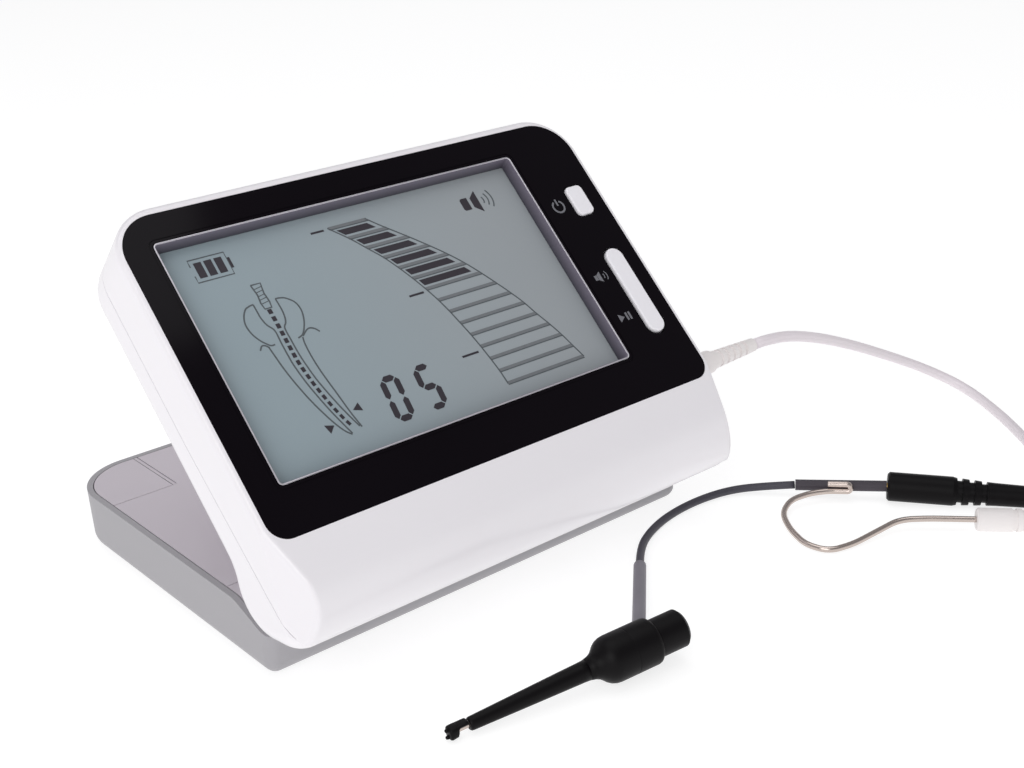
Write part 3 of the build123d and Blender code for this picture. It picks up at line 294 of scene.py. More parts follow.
class Sheet:
    # one material, or the world: its surface node and the nodes that feed it
    def __init__(self, name, owners=bpy.data.materials, surface="ShaderNodeBsdfPrincipled",
                 end="ShaderNodeOutputMaterial"):
        self.owner = owners.new(name)
        self.owner.use_nodes = True
        self.tree = self.owner.node_tree
        self.tree.nodes.clear()
        self.surface = self.tree.nodes.new(surface)
        self.tree.links.new(self.surface.outputs[0], self.tree.nodes.new(end).inputs["Surface"])

    def add(self, kind, settings=None, values=None):
        made = self.tree.nodes.new(kind)
        for key, value in (settings or {}).items():
            if key == "stops":
                for stop, (place, colour) in zip(made.color_ramp.elements, value):
                    stop.position, stop.color = place, (*colour, 1)
            else:
                setattr(made, key, value)
        self.feed(made, values or {})
        return Wire(self, made.outputs[0])

    def feed(self, made, values):
        for key, value in values.items():
            if isinstance(value, Wire):
                self.tree.links.new(value.socket, made.inputs[key])
            else:
                made.inputs[key].default_value = value

    def finish(self, **values):
        self.feed(self.surface, {key.replace("_", " "): value for key, value in values.items()})
        return self.owner

    def place(self, kind="Object"):
        return self.add("ShaderNodeTexCoord").pick(kind)

    def noise(self, scale, detail=3.0, where=None, stretch=None, roughness=0.5):
        where = where or self.place()
        if stretch:
            where = self.add("ShaderNodeMapping", None, {"Vector": where, "Scale": stretch})
        return self.add("ShaderNodeTexNoise", None, {"Vector": where, "Scale": scale, "Detail": detail,
                                                     "Roughness": roughness}).pick("Fac")

    def blendColour(self, amount, one, two):
        # inputs 6 and 7 and output 2 are this node's colour sockets
        mixed = self.add("ShaderNodeMix", {"data_type": "RGBA"}, {"Factor": amount, 6: one, 7: two})
        return Wire(self, mixed.socket.node.outputs[2])

    def bump(self, height, strength, distance):
        values = {"Height": height, "Strength": strength, "Distance": distance}
        return self.add("ShaderNodeBump", None, values)


def tone(r, g, b):
    # screen values 0 to 255 to linear light: v / 12.92 near black, else ((v + 0.055) / 1.055)^2.4
    return tuple(((v / 255 + 0.055) / 1.055) ** 2.4 if v > 10 else v / 255 / 12.92 for v in (r, g, b))


def shade(colour, share=1.0):
    # the colour times its share, no channel above 1, at full alpha
    return (*(min(1.0, v * share) for v in colour), 1)


def mouldedPlastic(name, colour, rough, grain, mottle=0.03, coat=0.0, shine=0.5):
    # colour drifts by the mottle share over centimetres; fine grain in the bump; roughness drifts a little
    s = Sheet(name)
    grainScale, grainDepth, grainStrength = grain
    drift = s.noise(35.0, 2.0)
    height = s.noise(grainScale, 2.0, roughness=0.6)
    return s.finish(Base_Color=s.blendColour(drift, shade(colour, 1 - mottle), shade(colour, 1 + mottle)),
                    Roughness=rough + (drift - 0.5) * 0.08, Normal=s.bump(height, grainStrength, grainDepth),
                    Coat_Weight=coat, Coat_Roughness=0.12, Specular_IOR_Level=shine)


def panelGloss(name):
    # deep black lacquer with a faint haze of handling and a long soft waviness
    s = Sheet(name)
    haze = s.noise(22.0, 4.0)
    wave = s.noise(12.0, 1.0)
    smear = s.noise(60.0, 5.0, stretch=(1.0, 0.35, 0.35))
    colour = s.blendColour(haze, shade(tone(7, 4, 9)), shade(tone(13, 8, 14)))
    return s.finish(Base_Color=colour, Roughness=0.07 + smear * 0.06, Normal=s.bump(wave, 0.05, 0.0002),
                    Specular_IOR_Level=0.1)


def screenFilm(name, setup):
    # grey-green screen: cooler on the left, a touch warmer and lighter to the right, under a fine matt grain
    s = Sheet(name)
    split = s.add("ShaderNodeSeparateXYZ", None, {0: s.place()})
    across = s.add("ShaderNodeMapRange", {"interpolation_type": "SMOOTHSTEP"},
                   {"Value": split, "From Min": setup["left"], "From Max": setup["right"]})
    cell = s.noise(5200.0, 1.0)
    cloud = s.noise(18.0, 3.0)
    ground = s.blendColour(across, shade(tone(*setup["coolTone"])), shade(tone(*setup["warmTone"])))
    amount = cell * 0.10 + cloud * 0.16
    colour = s.blendColour(amount, ground, shade(tone(*setup["deepTone"])))
    return s.finish(Base_Color=colour, Roughness=0.34 + cloud * 0.08, Normal=s.bump(cell, 0.08, 0.00003),
                    Specular_IOR_Level=0.35)


def printedInk(name, colour):
    # flat ink with a faint speck in its tone
    s = Sheet(name)
    speck = s.noise(900.0, 2.0)
    return s.finish(Base_Color=s.blendColour(speck, shade(colour, 0.88), shade(colour, 1.1)),
                    Roughness=0.4 + speck * 0.08, Normal=s.bump(speck, 0.04, 0.00002))


def brushedMetal(name, colour, rough, stretch, scale=600.0, strength=0.12):
    # fine lines along one direction, from noise squeezed across it
    s = Sheet(name)
    lines = s.noise(scale, 3.0, stretch=stretch)
    cloud = s.noise(60.0, 2.0)
    tint = s.blendColour(cloud, shade(colour, 0.9), shade(colour, 1.06))
    return s.finish(Base_Color=tint, Metallic=1.0, Roughness=rough + lines * 0.1,
                    Normal=s.bump(lines, strength, 0.00002))


def softRubber(name, colour, rough):
    # fine matt grain under a drift of dust
    s = Sheet(name)
    grain = s.noise(1800.0, 3.0)
    dust = s.noise(90.0, 4.0)
    tint = s.blendColour(dust, shade(colour, 0.85), shade(colour, 1.2))
    return s.finish(Base_Color=tint, Roughness=rough + dust * 0.1, Normal=s.bump(grain, 0.25, 0.00004),
                    Specular_IOR_Level=0.3)


def cableSheath(name, colour, rough, flankShade):
    # soft sheath: a slow change of tone along the length, painted shade that darkens the tube's two flanks
    # and leaves its top and bottom pale, and drawing marks round it
    s = Sheet(name)
    where = s.add("ShaderNodeUVMap", {"uv_map": "along"})
    split = s.add("ShaderNodeSeparateXYZ", None, {0: where})
    slow = s.noise(14.0, 3.0)
    draw = s.noise(1.0, 2.0, where=where, stretch=(900.0, 14.0, 1.0))
    turn = split.pick("Y") * (4 * math.pi)
    line = turn.work("COSINE", turn)
    tint = s.blendColour(slow, shade(colour, 0.93), shade(colour, 1.05))
    # painted shade: by the cosine of twice the angle round the tube, the flanks go towards 0.62 of the colour
    lit = s.blendColour((line + 1) * flankShade, tint, shade(colour, 0.62))
    return s.finish(Base_Color=lit, Roughness=rough + slow * 0.1, Normal=s.bump(draw, 0.12, 0.00005))


def circuitBoard(name):
    # green solder mask with lighter tracks along the edges between cells
    s = Sheet(name)
    where = s.place()
    cells = s.add("ShaderNodeTexVoronoi", {"feature": "DISTANCE_TO_EDGE"}, {"Vector": where, "Scale": 420.0})
    track = s.add("ShaderNodeValToRGB", {"stops": [(0.03, (1, 1, 1)), (0.09, (0, 0, 0))]}, {"Fac": cells})
    tint = s.blendColour(track, shade(tone(16, 74, 44)), shade(tone(52, 126, 84)))
    return s.finish(Base_Color=tint, Roughness=0.35, Normal=s.bump(track, 0.3, 0.00003))


screenTones = {"left": -0.055, "right": 0.042, "coolTone": (149, 164, 171), "warmTone": (158, 163, 167),
               "deepTone": (118, 128, 134)}

# each finish: its maker, its tone on screen, its roughness and its own; grain is scale, depth, strength
finishPlan = {
    "white_housing": (mouldedPlastic, (238, 235, 239), 0.3,
                      {"grain": (900.0, 0.00003, 0.06), "mottle": 0.012, "coat": 0.25}),
    "diffuser": (mouldedPlastic, (238, 238, 232), 0.5, {"grain": (1200.0, 0.00003, 0.1)}),
    "contact_strip": (softRubber, (150, 150, 152), 0.6, {}),
    "black_component": (mouldedPlastic, (34, 34, 36), 0.55, {"grain": (2400.0, 0.00004, 0.3)}),
    "key_plastic": (mouldedPlastic, (242, 240, 245), 0.28,
                    {"grain": (1100.0, 0.00002, 0.05), "mottle": 0.015, "coat": 0.3}),
    "grey_base": (mouldedPlastic, (164, 162, 166), 0.46,
                  {"grain": (2600.0, 0.00005, 0.28), "mottle": 0.02, "shine": 0.35}),
    "grey_cover": (mouldedPlastic, (201, 194, 201), 0.5,
                   {"grain": (2600.0, 0.00005, 0.3), "mottle": 0.02, "shine": 0.35}),
    "steel": (brushedMetal, (196, 197, 200), 0.3, {"stretch": (0.15, 1.0, 1.0)}),
    "cell_wrap": (mouldedPlastic, (60, 92, 150), 0.35, {"grain": (700.0, 0.00006, 0.2)}),
    "foot_rubber": (softRubber, (48, 48, 50), 0.72, {}),
    "inner_cable": (softRubber, (70, 70, 74), 0.6, {}),
    # flankShade is the strength of the painted shade on a cable's two flanks
    "cable_white": (cableSheath, (236, 228, 233), 0.4, {"flankShade": 0.12}),
    "plug_cream": (mouldedPlastic, (236, 231, 230), 0.4, {"grain": (1500.0, 0.00004, 0.15), "mottle": 0.02}),
    "cable_grey": (cableSheath, (62, 60, 70), 0.46, {"flankShade": 0.1}),
    "sleeve_grey": (softRubber, (66, 61, 68), 0.45, {}),
    "black_plastic": (mouldedPlastic, (11, 9, 11), 0.42,
                      {"grain": (2200.0, 0.00005, 0.35), "mottle": 0.2, "shine": 0.12}),
    "contact_brass": (brushedMetal, (214, 178, 110), 0.25, {"stretch": (1.0, 1.0, 0.2)}),
    "bright_wire": (brushedMetal, (200, 187, 180), 0.17,
                    {"stretch": (0.3, 1.0, 1.0), "scale": 900.0, "strength": 0.05})}

finishes = {"black_panel": panelGloss("black_panel"), "screen_glass": screenFilm("screen_glass", screenTones),
            "circuit_board": circuitBoard("circuit_board")}
for finishName, (make, screenTone, rough, own) in finishPlan.items():
    finishes[finishName] = make(finishName, tone(*screenTone), rough, **own)

slotOf = {entry["node"]: entry["material_slot"] for entry in frame["record"]["subparts"]}
for nodeName, node in cadNodes.items():
    for materialSlot in node.material_slots:
        materialSlot.material = finishes[slotOf[nodeName]]
sleeveLight = softRubber("sleeve_light", tone(120, 117, 125), 0.45)  # the short sleeve is the paler one
cadNodes["lead_sleeve_short"].material_slots[0].material = sleeveLight
for tube, line, c in leads:
    tube.data.materials.append(finishes[c["slot"]])
print("finishes made:", len(finishes))

# the panel's tilt in degrees, the hinge axis, and that axis as measured on the panel, in metres
panelPlane = {"tilt": 44.0, "hingeY": -0.041211, "hingeZ": 0.0248, "hingeUp": -0.0435, "hingeOut": -0.0133}


def onPanel(points, out):
    # across is X; up and out, from the hinge axis, turn about it by the tilt; millimetres in, metres out
    p = panelPlane
    cosine, sine = math.cos(math.radians(p["tilt"])), math.sin(math.radians(p["tilt"]))
    up = points[:, 1] / 1000 - p["hingeUp"]
    away = np.broadcast_to(out, len(points)) / 1000 - p["hingeOut"]
    return np.stack([points[:, 0] / 1000, p["hingeY"] + up * cosine - away * sine,
                     p["hingeZ"] + up * sine + away * cosine], -1)


class FlatWork:
    # collects flat strokes and shapes on the panel and turns them into one thin raised piece
    def __init__(self):
        self.points, self.faces, self.count = [], [], 0

    def shape(self, outline):
        outline = np.array(outline, float)
        # twice the area, as x * next y - next x * y summed; below zero it runs clockwise and is turned round
        x, y = outline.T
        if np.sum(x * np.roll(y, -1) - np.roll(x, -1) * y) < 0:
            outline = outline[::-1]
        self.points.append(outline)
        self.faces.append(list(range(self.count, self.count + len(outline))))
        self.count += len(outline)

    def stroke(self, line, width):
        # both rims stand half the width off the line, along its normal
        line = np.array(line, float)
        ahead = np.gradient(line, axis=0)
        ahead /= np.linalg.norm(ahead, axis=1)[:, None] + 1e-12
        normal = np.stack([-ahead[:, 1], ahead[:, 0]], -1)
        half = np.broadcast_to(np.asarray(width, float) / 2, len(line))[:, None]
        rims = np.stack([line - normal * half, line + normal * half], 1).reshape(-1, 2)
        a = 2 * np.arange(len(line) - 1)
        self.points.append(rims)
        self.faces += (np.stack([a, a + 2, a + 3, a + 1], -1) + self.count).tolist()
        self.count += len(rims)

    def piece(self, name, out, thick, finish, slot):
        corners = onPanel(np.vstack(self.points), out)
        made = meshPiece(name, corners, self.faces, smooth=False)
        raised = made.modifiers.new("raised", "SOLIDIFY")
        raised.thickness, raised.offset = thick / 1000, 1.0
        made.data.materials.append(finish)
        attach(made, "display")


def arcLine(middle, reach, low, high, steps):
    # middle + reach * (cos a, sin a), with a from low to high degrees
    angle = np.radians(np.linspace(low, high, steps))
    return np.stack([middle[0] + reach * np.cos(angle), middle[1] + reach * np.sin(angle)], -1)


def boxLine(left, low, right, high):
    # the four corners of a rectangle
    return [(left, low), (right, low), (right, high), (left, high)]


def flowing(points, steps=8):
    # Catmull-Rom: from b to c a cubic in t, with half of c - a and of d - b as its slopes; the ends carry on
    p = np.array(points, float)
    p = np.vstack([2 * p[0] - p[1], p, 2 * p[-1] - p[-2]])
    t = np.linspace(0, 1, steps, endpoint=False)[:, None, None]
    a, b, c, d = p[:-3], p[1:-2], p[2:-1], p[3:]
    bend, twist = 2 * a - 5 * b + 4 * c - d, 3 * b - a - 3 * c + d
    run = 0.5 * (2 * b + (c - a) * t + bend * t ** 2 + twist * t ** 3)
    return np.vstack([run.transpose(1, 0, 2).reshape(-1, 2), p[-2:-1]])


# what the screen shows, in millimetres on the panel from its middle
screenShows = {
    "level": -3.4, "thick": 0.05,
    "darkTone": (46, 41, 49), "lineTone": (82, 88, 92), "softTone": (112, 116, 120),
    "rungTop": 26.7, "rungStep": 3.52, "rungs": 15, "filled": 6, "rungWidth": 0.85, "rungShadowWidth": 0.26,
    "fillLeft": 0.75, "fillRight": 1.5, "fillRim": 0.95,
    "railWidth": 0.34, "markWidth": 0.5, "drawWidth": 0.36,
    "leftRail": [(-12.56, 26.9), (-8.5, 22.9), (-5.7, 19.5), (-2.9, 16.1), (-0.7, 12.6), (1.2, 9.2),
                 (3.06, 5.4), (4.5, 2.0), (5.75, -1.75), (6.7, -5.2), (7.6, -8.6), (8.4, -12.4),
                 (9.0, -15.8), (9.5, -19.25), (9.75, -22.7)],
    "rightRail": [(-2.1, 27.0), (1.2, 23.9), (5.25, 20.4), (9.0, 17.0), (12.75, 13.4), (15.9, 10.0),
                  (18.7, 6.4), (21.5, 2.3), (23.7, -1.1), (25.9, -4.9), (27.4, -8.3), (29.3, -12.1),
                  (30.9, -15.8), (32.1, -19.25), (33.35, -22.7)],
    "marks": [((-17.2, 26.6), (-13.7, 26.6)), ((-2.1, 4.95), (2.0, 4.95)), ((2.3, -13.1), (7.0, -13.1))],
    "digitWide": 5.3, "digitTall": 11.5, "digitSlant": 0.07,
    "segment": 1.62, "segmentSlim": 0.92, "digitGap": 0.2,
    "digits": [((-21.6, -22.95), "abcdef"), ((-12.5, -22.95), "acdfg")],
    "arrows": [[(-38.0, -17.7), (-35.8, -18.4), (-37.4, -19.9)],
               [(-29.9, -16.5), (-28.0, -15.2), (-27.7, -17.3)]],
    "crownLeft": [(-39.1, 13.7), (-40.3, 13.5), (-41.4, 13.0), (-42.5, 11.5), (-43.1, 9.5), (-42.8, 7.2),
                  (-41.8, 5.2), (-40.7, 3.9), (-39.9, 3.3), (-39.0, 3.3)],
    "crownRight": [(-33.5, 13.6), (-32.4, 13.5), (-31.2, 13.1), (-29.6, 11.6), (-29.1, 9.5), (-29.6, 7.2),
                   (-30.6, 5.2), (-31.8, 3.7), (-33.2, 3.15)],
    "chamberLeft": [(-39.1, 13.7), (-39.05, 11.6), (-39.0, 10.1), (-38.5, 8.2), (-37.45, 6.4),
                    (-37.5, 3.2), (-37.5, -0.5), (-37.35, -3.2), (-36.6, -8.0), (-35.1, -14.2),
                    (-33.6, -19.0), (-32.75, -21.4)],
    "chamberRight": [(-33.5, 13.6), (-33.4, 10.8), (-33.6, 8.9), (-34.1, 7.5), (-34.95, 6.3), (-35.0, 3.2),
                     (-34.95, -0.5), (-34.6, -4.2), (-34.0, -8.0), (-32.6, -13.6), (-31.2, -18.0),
                     (-30.3, -20.4)],
    "rootLeft": [(-40.7, 3.2), (-40.4, 0.7), (-39.9, -3.0), (-39.0, -7.4), (-37.6, -12.4), (-35.7, -17.4),
                 (-34.2, -20.2), (-32.9, -21.6)],
    "rootRight": [(-32.1, 3.1), (-32.4, 1.5), (-32.5, -1.7), (-32.2, -6.1), (-31.4, -11.7), (-30.7, -16.7),
                  (-29.9, -20.7)],
    "gumLeft": [(-42.9, 2.9), (-42.1, 3.8), (-41.3, 3.7), (-40.6, 3.0)],
    "gumRight": [(-31.9, 3.3), (-30.4, 4.4), (-29.4, 4.65), (-28.4, 4.2), (-27.6, 3.2)],
    "handle": [(-37.4, 18.2), (-37.0, 15.6), (-37.25, 13.4), (-37.0, 11.9), (-35.3, 11.9), (-35.1, 13.4),
               (-35.35, 15.6), (-34.95, 18.2)],
    "handleBands": [17.2, 16.3, 15.3, 14.4, 13.4],
    "bandSides": (-37.0, -35.25), "bandLean": 0.15, "bandWidth": 0.2,
    "needle": [(-36.2, 11.6), (-36.1, 8.0), (-36.1, 4.5), (-36.1, -1.7), (-35.7, -5.5), (-35.1, -9.2),
               (-34.1, -13.6), (-33.0, -17.3), (-31.9, -20.1)],
    "needleDashes": 17, "needleWide": 1.05, "needleSlim": 0.75, "dashShare": 0.62,
    "battery": {"case": [(-48.3, 26.0), (-48.3, 27.7), (-39.4, 27.7), (-39.4, 22.0), (-48.3, 22.0),
                         (-48.3, 23.7)],
                "width": 0.3, "tip": (-39.3, 23.5, -38.7, 26.2),
                "cells": (-47.35, -44.85, -42.35), "cellWide": 1.85, "cellLow": 22.9, "cellHigh": 26.8},
    "speaker": {"at": (30.1, 23.8),
                "box": [(-5.2, -1.3), (-4.8, -1.7), (-3.0, -1.7), (-3.0, 1.7), (-4.8, 1.7), (-5.2, 1.3)],
                "cone": [(-2.1, -1.3), (0.0, -3.1), (0.0, 3.0), (-2.1, 1.3)],
                "waves": (1.5, 2.8, 4.1), "spread": 36, "steps": 9, "width": 0.35}}

segmentPlan = {  # each segment's ends as shares of the digit's width and height
    "a": ((0, 1), (1, 1)), "b": ((1, 1), (1, 0.5)), "c": ((1, 0.5), (1, 0)), "d": ((0, 0), (1, 0)),
    "e": ((0, 0.5), (0, 0)), "f": ((0, 1), (0, 0.5)), "g": ((0, 0.5), (1, 0.5))}


def drawDigit(work, corner, lit, s):
    # each segment is a six-sided bar between two corners, drawn in by the gap and leaning by the slant
    inset = s["segment"] / 2
    for letter in lit:
        (ax, ay), (bx, by) = segmentPlan[letter]
        wide, tall = s["digitWide"] - 2 * inset, s["digitTall"] - 2 * inset
        start, end = np.array([ax * wide, ay * tall]), np.array([bx * wide, by * tall])
        ahead = (end - start) / np.linalg.norm(end - start)
        aside = np.array([-ahead[1], ahead[0]])
        start, end = start + ahead * s["digitGap"], end - ahead * s["digitGap"]
        reach = inset * s["segmentSlim"]
        bar = np.array([start, start + (ahead + aside) * reach, end + (aside - ahead) * reach, end,
                        end - (aside + ahead) * reach, start + (ahead - aside) * reach])
        bar += inset
        bar[:, 0] += bar[:, 1] * s["digitSlant"]
        work.shape(bar + np.array(corner))


def acrossAt(rail, height):
    # the rail's place across the screen at this height
    rail = np.array(rail)[::-1]
    return float(np.interp(height, rail[:, 1], rail[:, 0]))


def drawScale(dark, faint, soft, s):
    # a ladder between two curved rails, its upper spaces filled, with marks on its left; a darker line under
    # each rung is its painted shadow
    for k in range(s["rungs"]):
        height = s["rungTop"] - s["rungStep"] * k
        left, right = acrossAt(s["leftRail"], height), acrossAt(s["rightRail"], height)
        soft.stroke([(left, height), (right, height)], s["rungWidth"])
        # painted shadow: a thin darker line along each rung's lower edge
        under = height - s["rungWidth"] / 2
        faint.stroke([(acrossAt(s["leftRail"], under), under), (acrossAt(s["rightRail"], under), under)],
                     s["rungShadowWidth"])
        if k < s["filled"]:
            high, low = height - s["fillRim"], height - s["rungStep"] + s["fillRim"]
            dark.shape([(acrossAt(s["leftRail"], high) + s["fillLeft"], high),
                        (acrossAt(s["rightRail"], high) - s["fillRight"], high),
                        (acrossAt(s["rightRail"], low) - s["fillRight"], low),
                        (acrossAt(s["leftRail"], low) + s["fillLeft"], low)])
    for rail in ("leftRail", "rightRail"):
        faint.stroke(flowing(s[rail], 4), s["railWidth"])
    for start, end in s["marks"]:
        dark.stroke([start, end], s["markWidth"])


def drawTooth(dark, faint, s):
    # the tooth's outlines, the file's handle with its bands, and the file as dashes that grow slimmer
    for line in ("crown", "chamber", "root", "gum"):
        for side in ("Left", "Right"):
            faint.stroke(flowing(s[line + side]), s["drawWidth"])
    faint.stroke(np.array(s["handle"] + s["handle"][:1]), s["drawWidth"])
    left, right = s["bandSides"]
    for height in s["handleBands"]:
        faint.stroke([(left, height - s["bandLean"]), (right, height + s["bandLean"])], s["bandWidth"])
    needle = flowing(s["needle"], 40)
    run = runAlong(needle)
    step = run[-1] / s["needleDashes"]
    for k in range(s["needleDashes"]):
        at = np.linspace(k * step, (k + s["dashShare"]) * step, 4)
        width = s["needleWide"] + (s["needleSlim"] - s["needleWide"]) * k / s["needleDashes"]
        dark.stroke(np.stack([np.interp(at, run, needle[:, 0]), np.interp(at, run, needle[:, 1])], -1), width)


def drawBattery(dark, faint, c):
    # open case line with its cells and tip filled
    faint.stroke(c["case"], c["width"])
    for left in c["cells"]:
        dark.shape(boxLine(left, c["cellLow"], left + c["cellWide"], c["cellHigh"]))
    dark.shape(boxLine(*c["tip"]))


def drawSpeaker(filled, waves, c):
    # box and cone, and arcs that spread from the middle of the cone's rim
    filled.shape(np.array(c["at"]) + c["box"])
    filled.shape(np.array(c["at"]) + c["cone"])
    for reach in c["waves"]:
        waves.stroke(arcLine(c["at"], reach, -c["spread"], c["spread"], c["steps"]), c["width"])


def makeScreenPicture(s):
    dark, faint, soft = FlatWork(), FlatWork(), FlatWork()
    drawScale(dark, faint, soft, s)
    for corner, lit in s["digits"]:
        drawDigit(dark, corner, lit, s)
    for arrow in s["arrows"]:
        dark.shape(arrow)
    drawTooth(dark, faint, s)
    drawBattery(dark, faint, s["battery"])
    drawSpeaker(dark, faint, s["speaker"])
    for work, name, ink, share in ((dark, "Dark", "dark", 1.0), (faint, "Line", "line", 0.8),
                                   (soft, "Soft", "soft", 0.6)):
        work.piece("screen" + name + "Marks", s["level"], s["thick"] * share,
                   printedInk("screen_" + ink, tone(*s[ink + "Tone"])), "black_component")


makeScreenPicture(screenShows)

panelIcons = {
    "out": 0.0, "thick": 0.03, "tone": (112, 112, 118),
    "power": {"at": (48.4, 15.0), "reach": 1.65, "open": (120, 420), "bar": (0.3, 2.2), "width": 0.5},
    "speaker": {"at": (48.3, -6.1), "box": boxLine(-2.1, -0.7, -1.2, 0.7),
                "cone": [(-1.1, -0.75), (0.0, -1.5), (0.0, 1.5), (-1.1, 0.75)],
                "waves": (1.0, 1.9), "spread": 38, "steps": 7, "width": 0.26},
    "mode": {"at": (48.2, -17.9), "arrow": [(-2.0, -1.1), (-0.3, 0.0), (-2.0, 1.1)],
             "bars": [boxLine(0.2, -1.05, 0.8, 1.05), boxLine(1.2, -1.05, 1.8, 1.05)]}}


def makePanelIcons(c):
    # broken ring with a bar, speaker with waves, and arrow with two bars, beside the keys
    ink, power, mode = FlatWork(), c["power"], c["mode"]
    ink.stroke(arcLine(power["at"], power["reach"], *power["open"], 26), power["width"])
    x, y = power["at"]
    ink.stroke([(x, y + rise) for rise in power["bar"]], power["width"])
    drawSpeaker(ink, ink, c["speaker"])
    for outline in [mode["arrow"]] + mode["bars"]:
        ink.shape(np.array(mode["at"]) + outline)
    ink.piece("panelIcons", c["out"], c["thick"], printedInk("icon_ink", tone(*c["tone"])), "key_plastic")


makePanelIcons(panelIcons)

# metal lip and a wall round the window, lavender grey darkened by painted shade with depth; the sections'
# pairs are outward and off the panel, in millimetres
windowTrim = {"centre": (-6.35, 1.95), "half": (48.85, 29.55), "corner": 0.8, "deep": 3.3,
              "lip": [(0.40, -0.02), (0.34, 0.07), (0.2, 0.11), (0.06, 0.07), (0.0, -0.02), (0.1, -0.2),
                      (0.3, -0.2)],
              "wall": [(0.04, -0.06), (-0.06, -0.06), (-0.1, -0.3), (-0.55, -3.3), (0.04, -3.3)]}


def roundedOutline(centre, half, corner, steps=7):
    # four quarter circles of the corner radius, joined by the straight sides; also the outward normals
    outline, normals = [], []
    for k, signs in enumerate([(1, 1), (-1, 1), (-1, -1), (1, -1)]):
        angle = np.radians(np.linspace(90 * k, 90 * k + 90, steps))
        normal = np.stack([np.cos(angle), np.sin(angle)], -1)
        outline.append(np.array(centre) + np.array(signs) * (np.array(half) - corner) + normal * corner)
        normals.append(normal)
    return np.vstack(outline), np.vstack(normals)


def windowRing(name, c, section, finish):
    # each outline point moves along its normal and off the panel by the section's pairs
    outline, normals = roundedOutline(c["centre"], c["half"], c["corner"])
    section = np.array(section)
    rows, columns = len(outline), len(section)
    flat = outline[:, None, :] + normals[:, None, :] * section[None, :, :1]
    corners = onPanel(flat.reshape(-1, 2), np.tile(section[:, 1], rows))
    # the second value of each pair is the depth down the section, which the wall's finish turns into painted
    # shade
    depth = np.stack([np.repeat(np.arange(rows), columns), np.tile(-section[:, 1] / c["deep"], rows)], -1)
    made = facesOut(meshPiece(name, corners, gridFaces(rows, columns, wrapRows=True), False, depth))
    made.data.materials.append(finish)
    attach(made, "display")


def wallShadeFinish(name):
    # lavender grey, darker with depth: painted shade down the window's recess
    s = Sheet(name)
    where = s.add("ShaderNodeUVMap", {"uv_map": "along"})
    depth = s.add("ShaderNodeSeparateXYZ", None, {0: where}).pick("Y")
    speck = s.noise(700.0, 2.0)
    # painted shade: lavender grey at the top of the wall, dark grey at its foot
    tint = s.blendColour(depth, shade(tone(116, 110, 124)), shade(tone(58, 56, 66)))
    return s.finish(Base_Color=tint, Roughness=0.35 + speck * 0.1, Normal=s.bump(speck, 0.05, 0.00003))


windowRing("windowTrim", windowTrim, windowTrim["lip"],
           brushedMetal("trim_silver", tone(222, 219, 226), 0.3, (0.2, 1.0, 1.0), 500.0, 0.05))
windowRing("windowWall", windowTrim, windowTrim["wall"], wallShadeFinish("window_wall_painted_shade"))
print("screen picture, icons and trim made")

# the clip along its axis from end to tip, in millimetres: profiles hold distance and radius, the head's lists
# its stations with their lift, half width and half height
fileClip = {"end": (8.9, -88.95, 7.1), "tip": (-47.2, -78.75, 1.6), "sides": 40,
            "barrel": [(7.5, 4.5), (7.6, 4.8), (7.9, 5.05), (8.5, 5.2), (13.6, 5.2), (13.75, 5.08),
                       (13.9, 5.08), (14.05, 5.2), (17.6, 5.2), (18.7, 5.08), (19.6, 4.75), (20.4, 4.2),
                       (21.0, 3.6), (21.7, 3.0), (22.7, 2.55), (24.0, 2.25), (24.0, 0.68), (14.6, 0.68),
                       (14.5, 4.34), (7.6, 4.34)],
            "nose": [(23.98, 0.68), (23.98, 2.25), (25.5, 2.17), (30.0, 2.06), (40.0, 1.79), (51.2, 1.47),
                     (51.7, 1.4), (51.95, 1.2), (52.0, 0.68)],
            "headAt": [52.25, 52.35, 53.0, 54.2, 54.5, 54.65, 54.9, 56.1, 56.45, 56.6],
            "headUp": [1.0, 1.0, 1.0, 1.0, 0.8, 0.4, 0.1, 0.0, 0.0, 0.0],
            "headWide": [0.9, 1.05, 1.1, 1.1, 1.2, 1.4, 1.47, 1.47, 1.38, 1.15],
            "headTall": [0.34, 0.4, 0.42, 0.42, 0.6, 1.0, 1.36, 1.45, 1.35, 1.1],
            "prongAt": (56.4, 57.2), "prongUp": (0.85, -0.8), "prongRadius": 0.44,
            "prongTaper": [1.0, 1.0, 0.9, 0.6],
            "outletAt": 11.0, "leadAt": branchLeads["clip"]["route"][-1],
            "outlet": [(4.6, 2.0), (5.6, 1.95), (6.4, 1.75), (8.15, 1.65)]}


def clipFrame(c):
    # the axis' start and direction, then the directions up and sideways from it
    start, end = np.array(c["end"]) / 1000, np.array(c["tip"]) / 1000
    aim = (end - start) / np.linalg.norm(end - start)
    up = np.array([0, 0, 1.0]) - aim * aim[2]
    up /= np.linalg.norm(up)
    return start, aim, up, np.cross(aim, up)


def turnedPiece(name, c, profile):
    # each profile pair is (distance along, radius), the loop closing through the bore
    start, aim, up, side = clipFrame(c)
    profile = np.array(profile) / 1000
    angle = np.linspace(0, 2 * np.pi, c["sides"], endpoint=False)
    ring = np.cos(angle)[None, :, None] * up + np.sin(angle)[None, :, None] * side
    corners = start + profile[:, 0][:, None, None] * aim + profile[:, 1][:, None, None] * ring
    faces = gridFaces(len(profile), c["sides"], wrapRows=True)
    made = facesOut(meshPiece(name, corners.reshape(-1, 3), faces))
    made.modifiers.new("soft", "WEIGHTED_NORMAL").keep_sharp = True
    made.data.materials.append(finishes["black_plastic"])
    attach(made, "base")
    return made


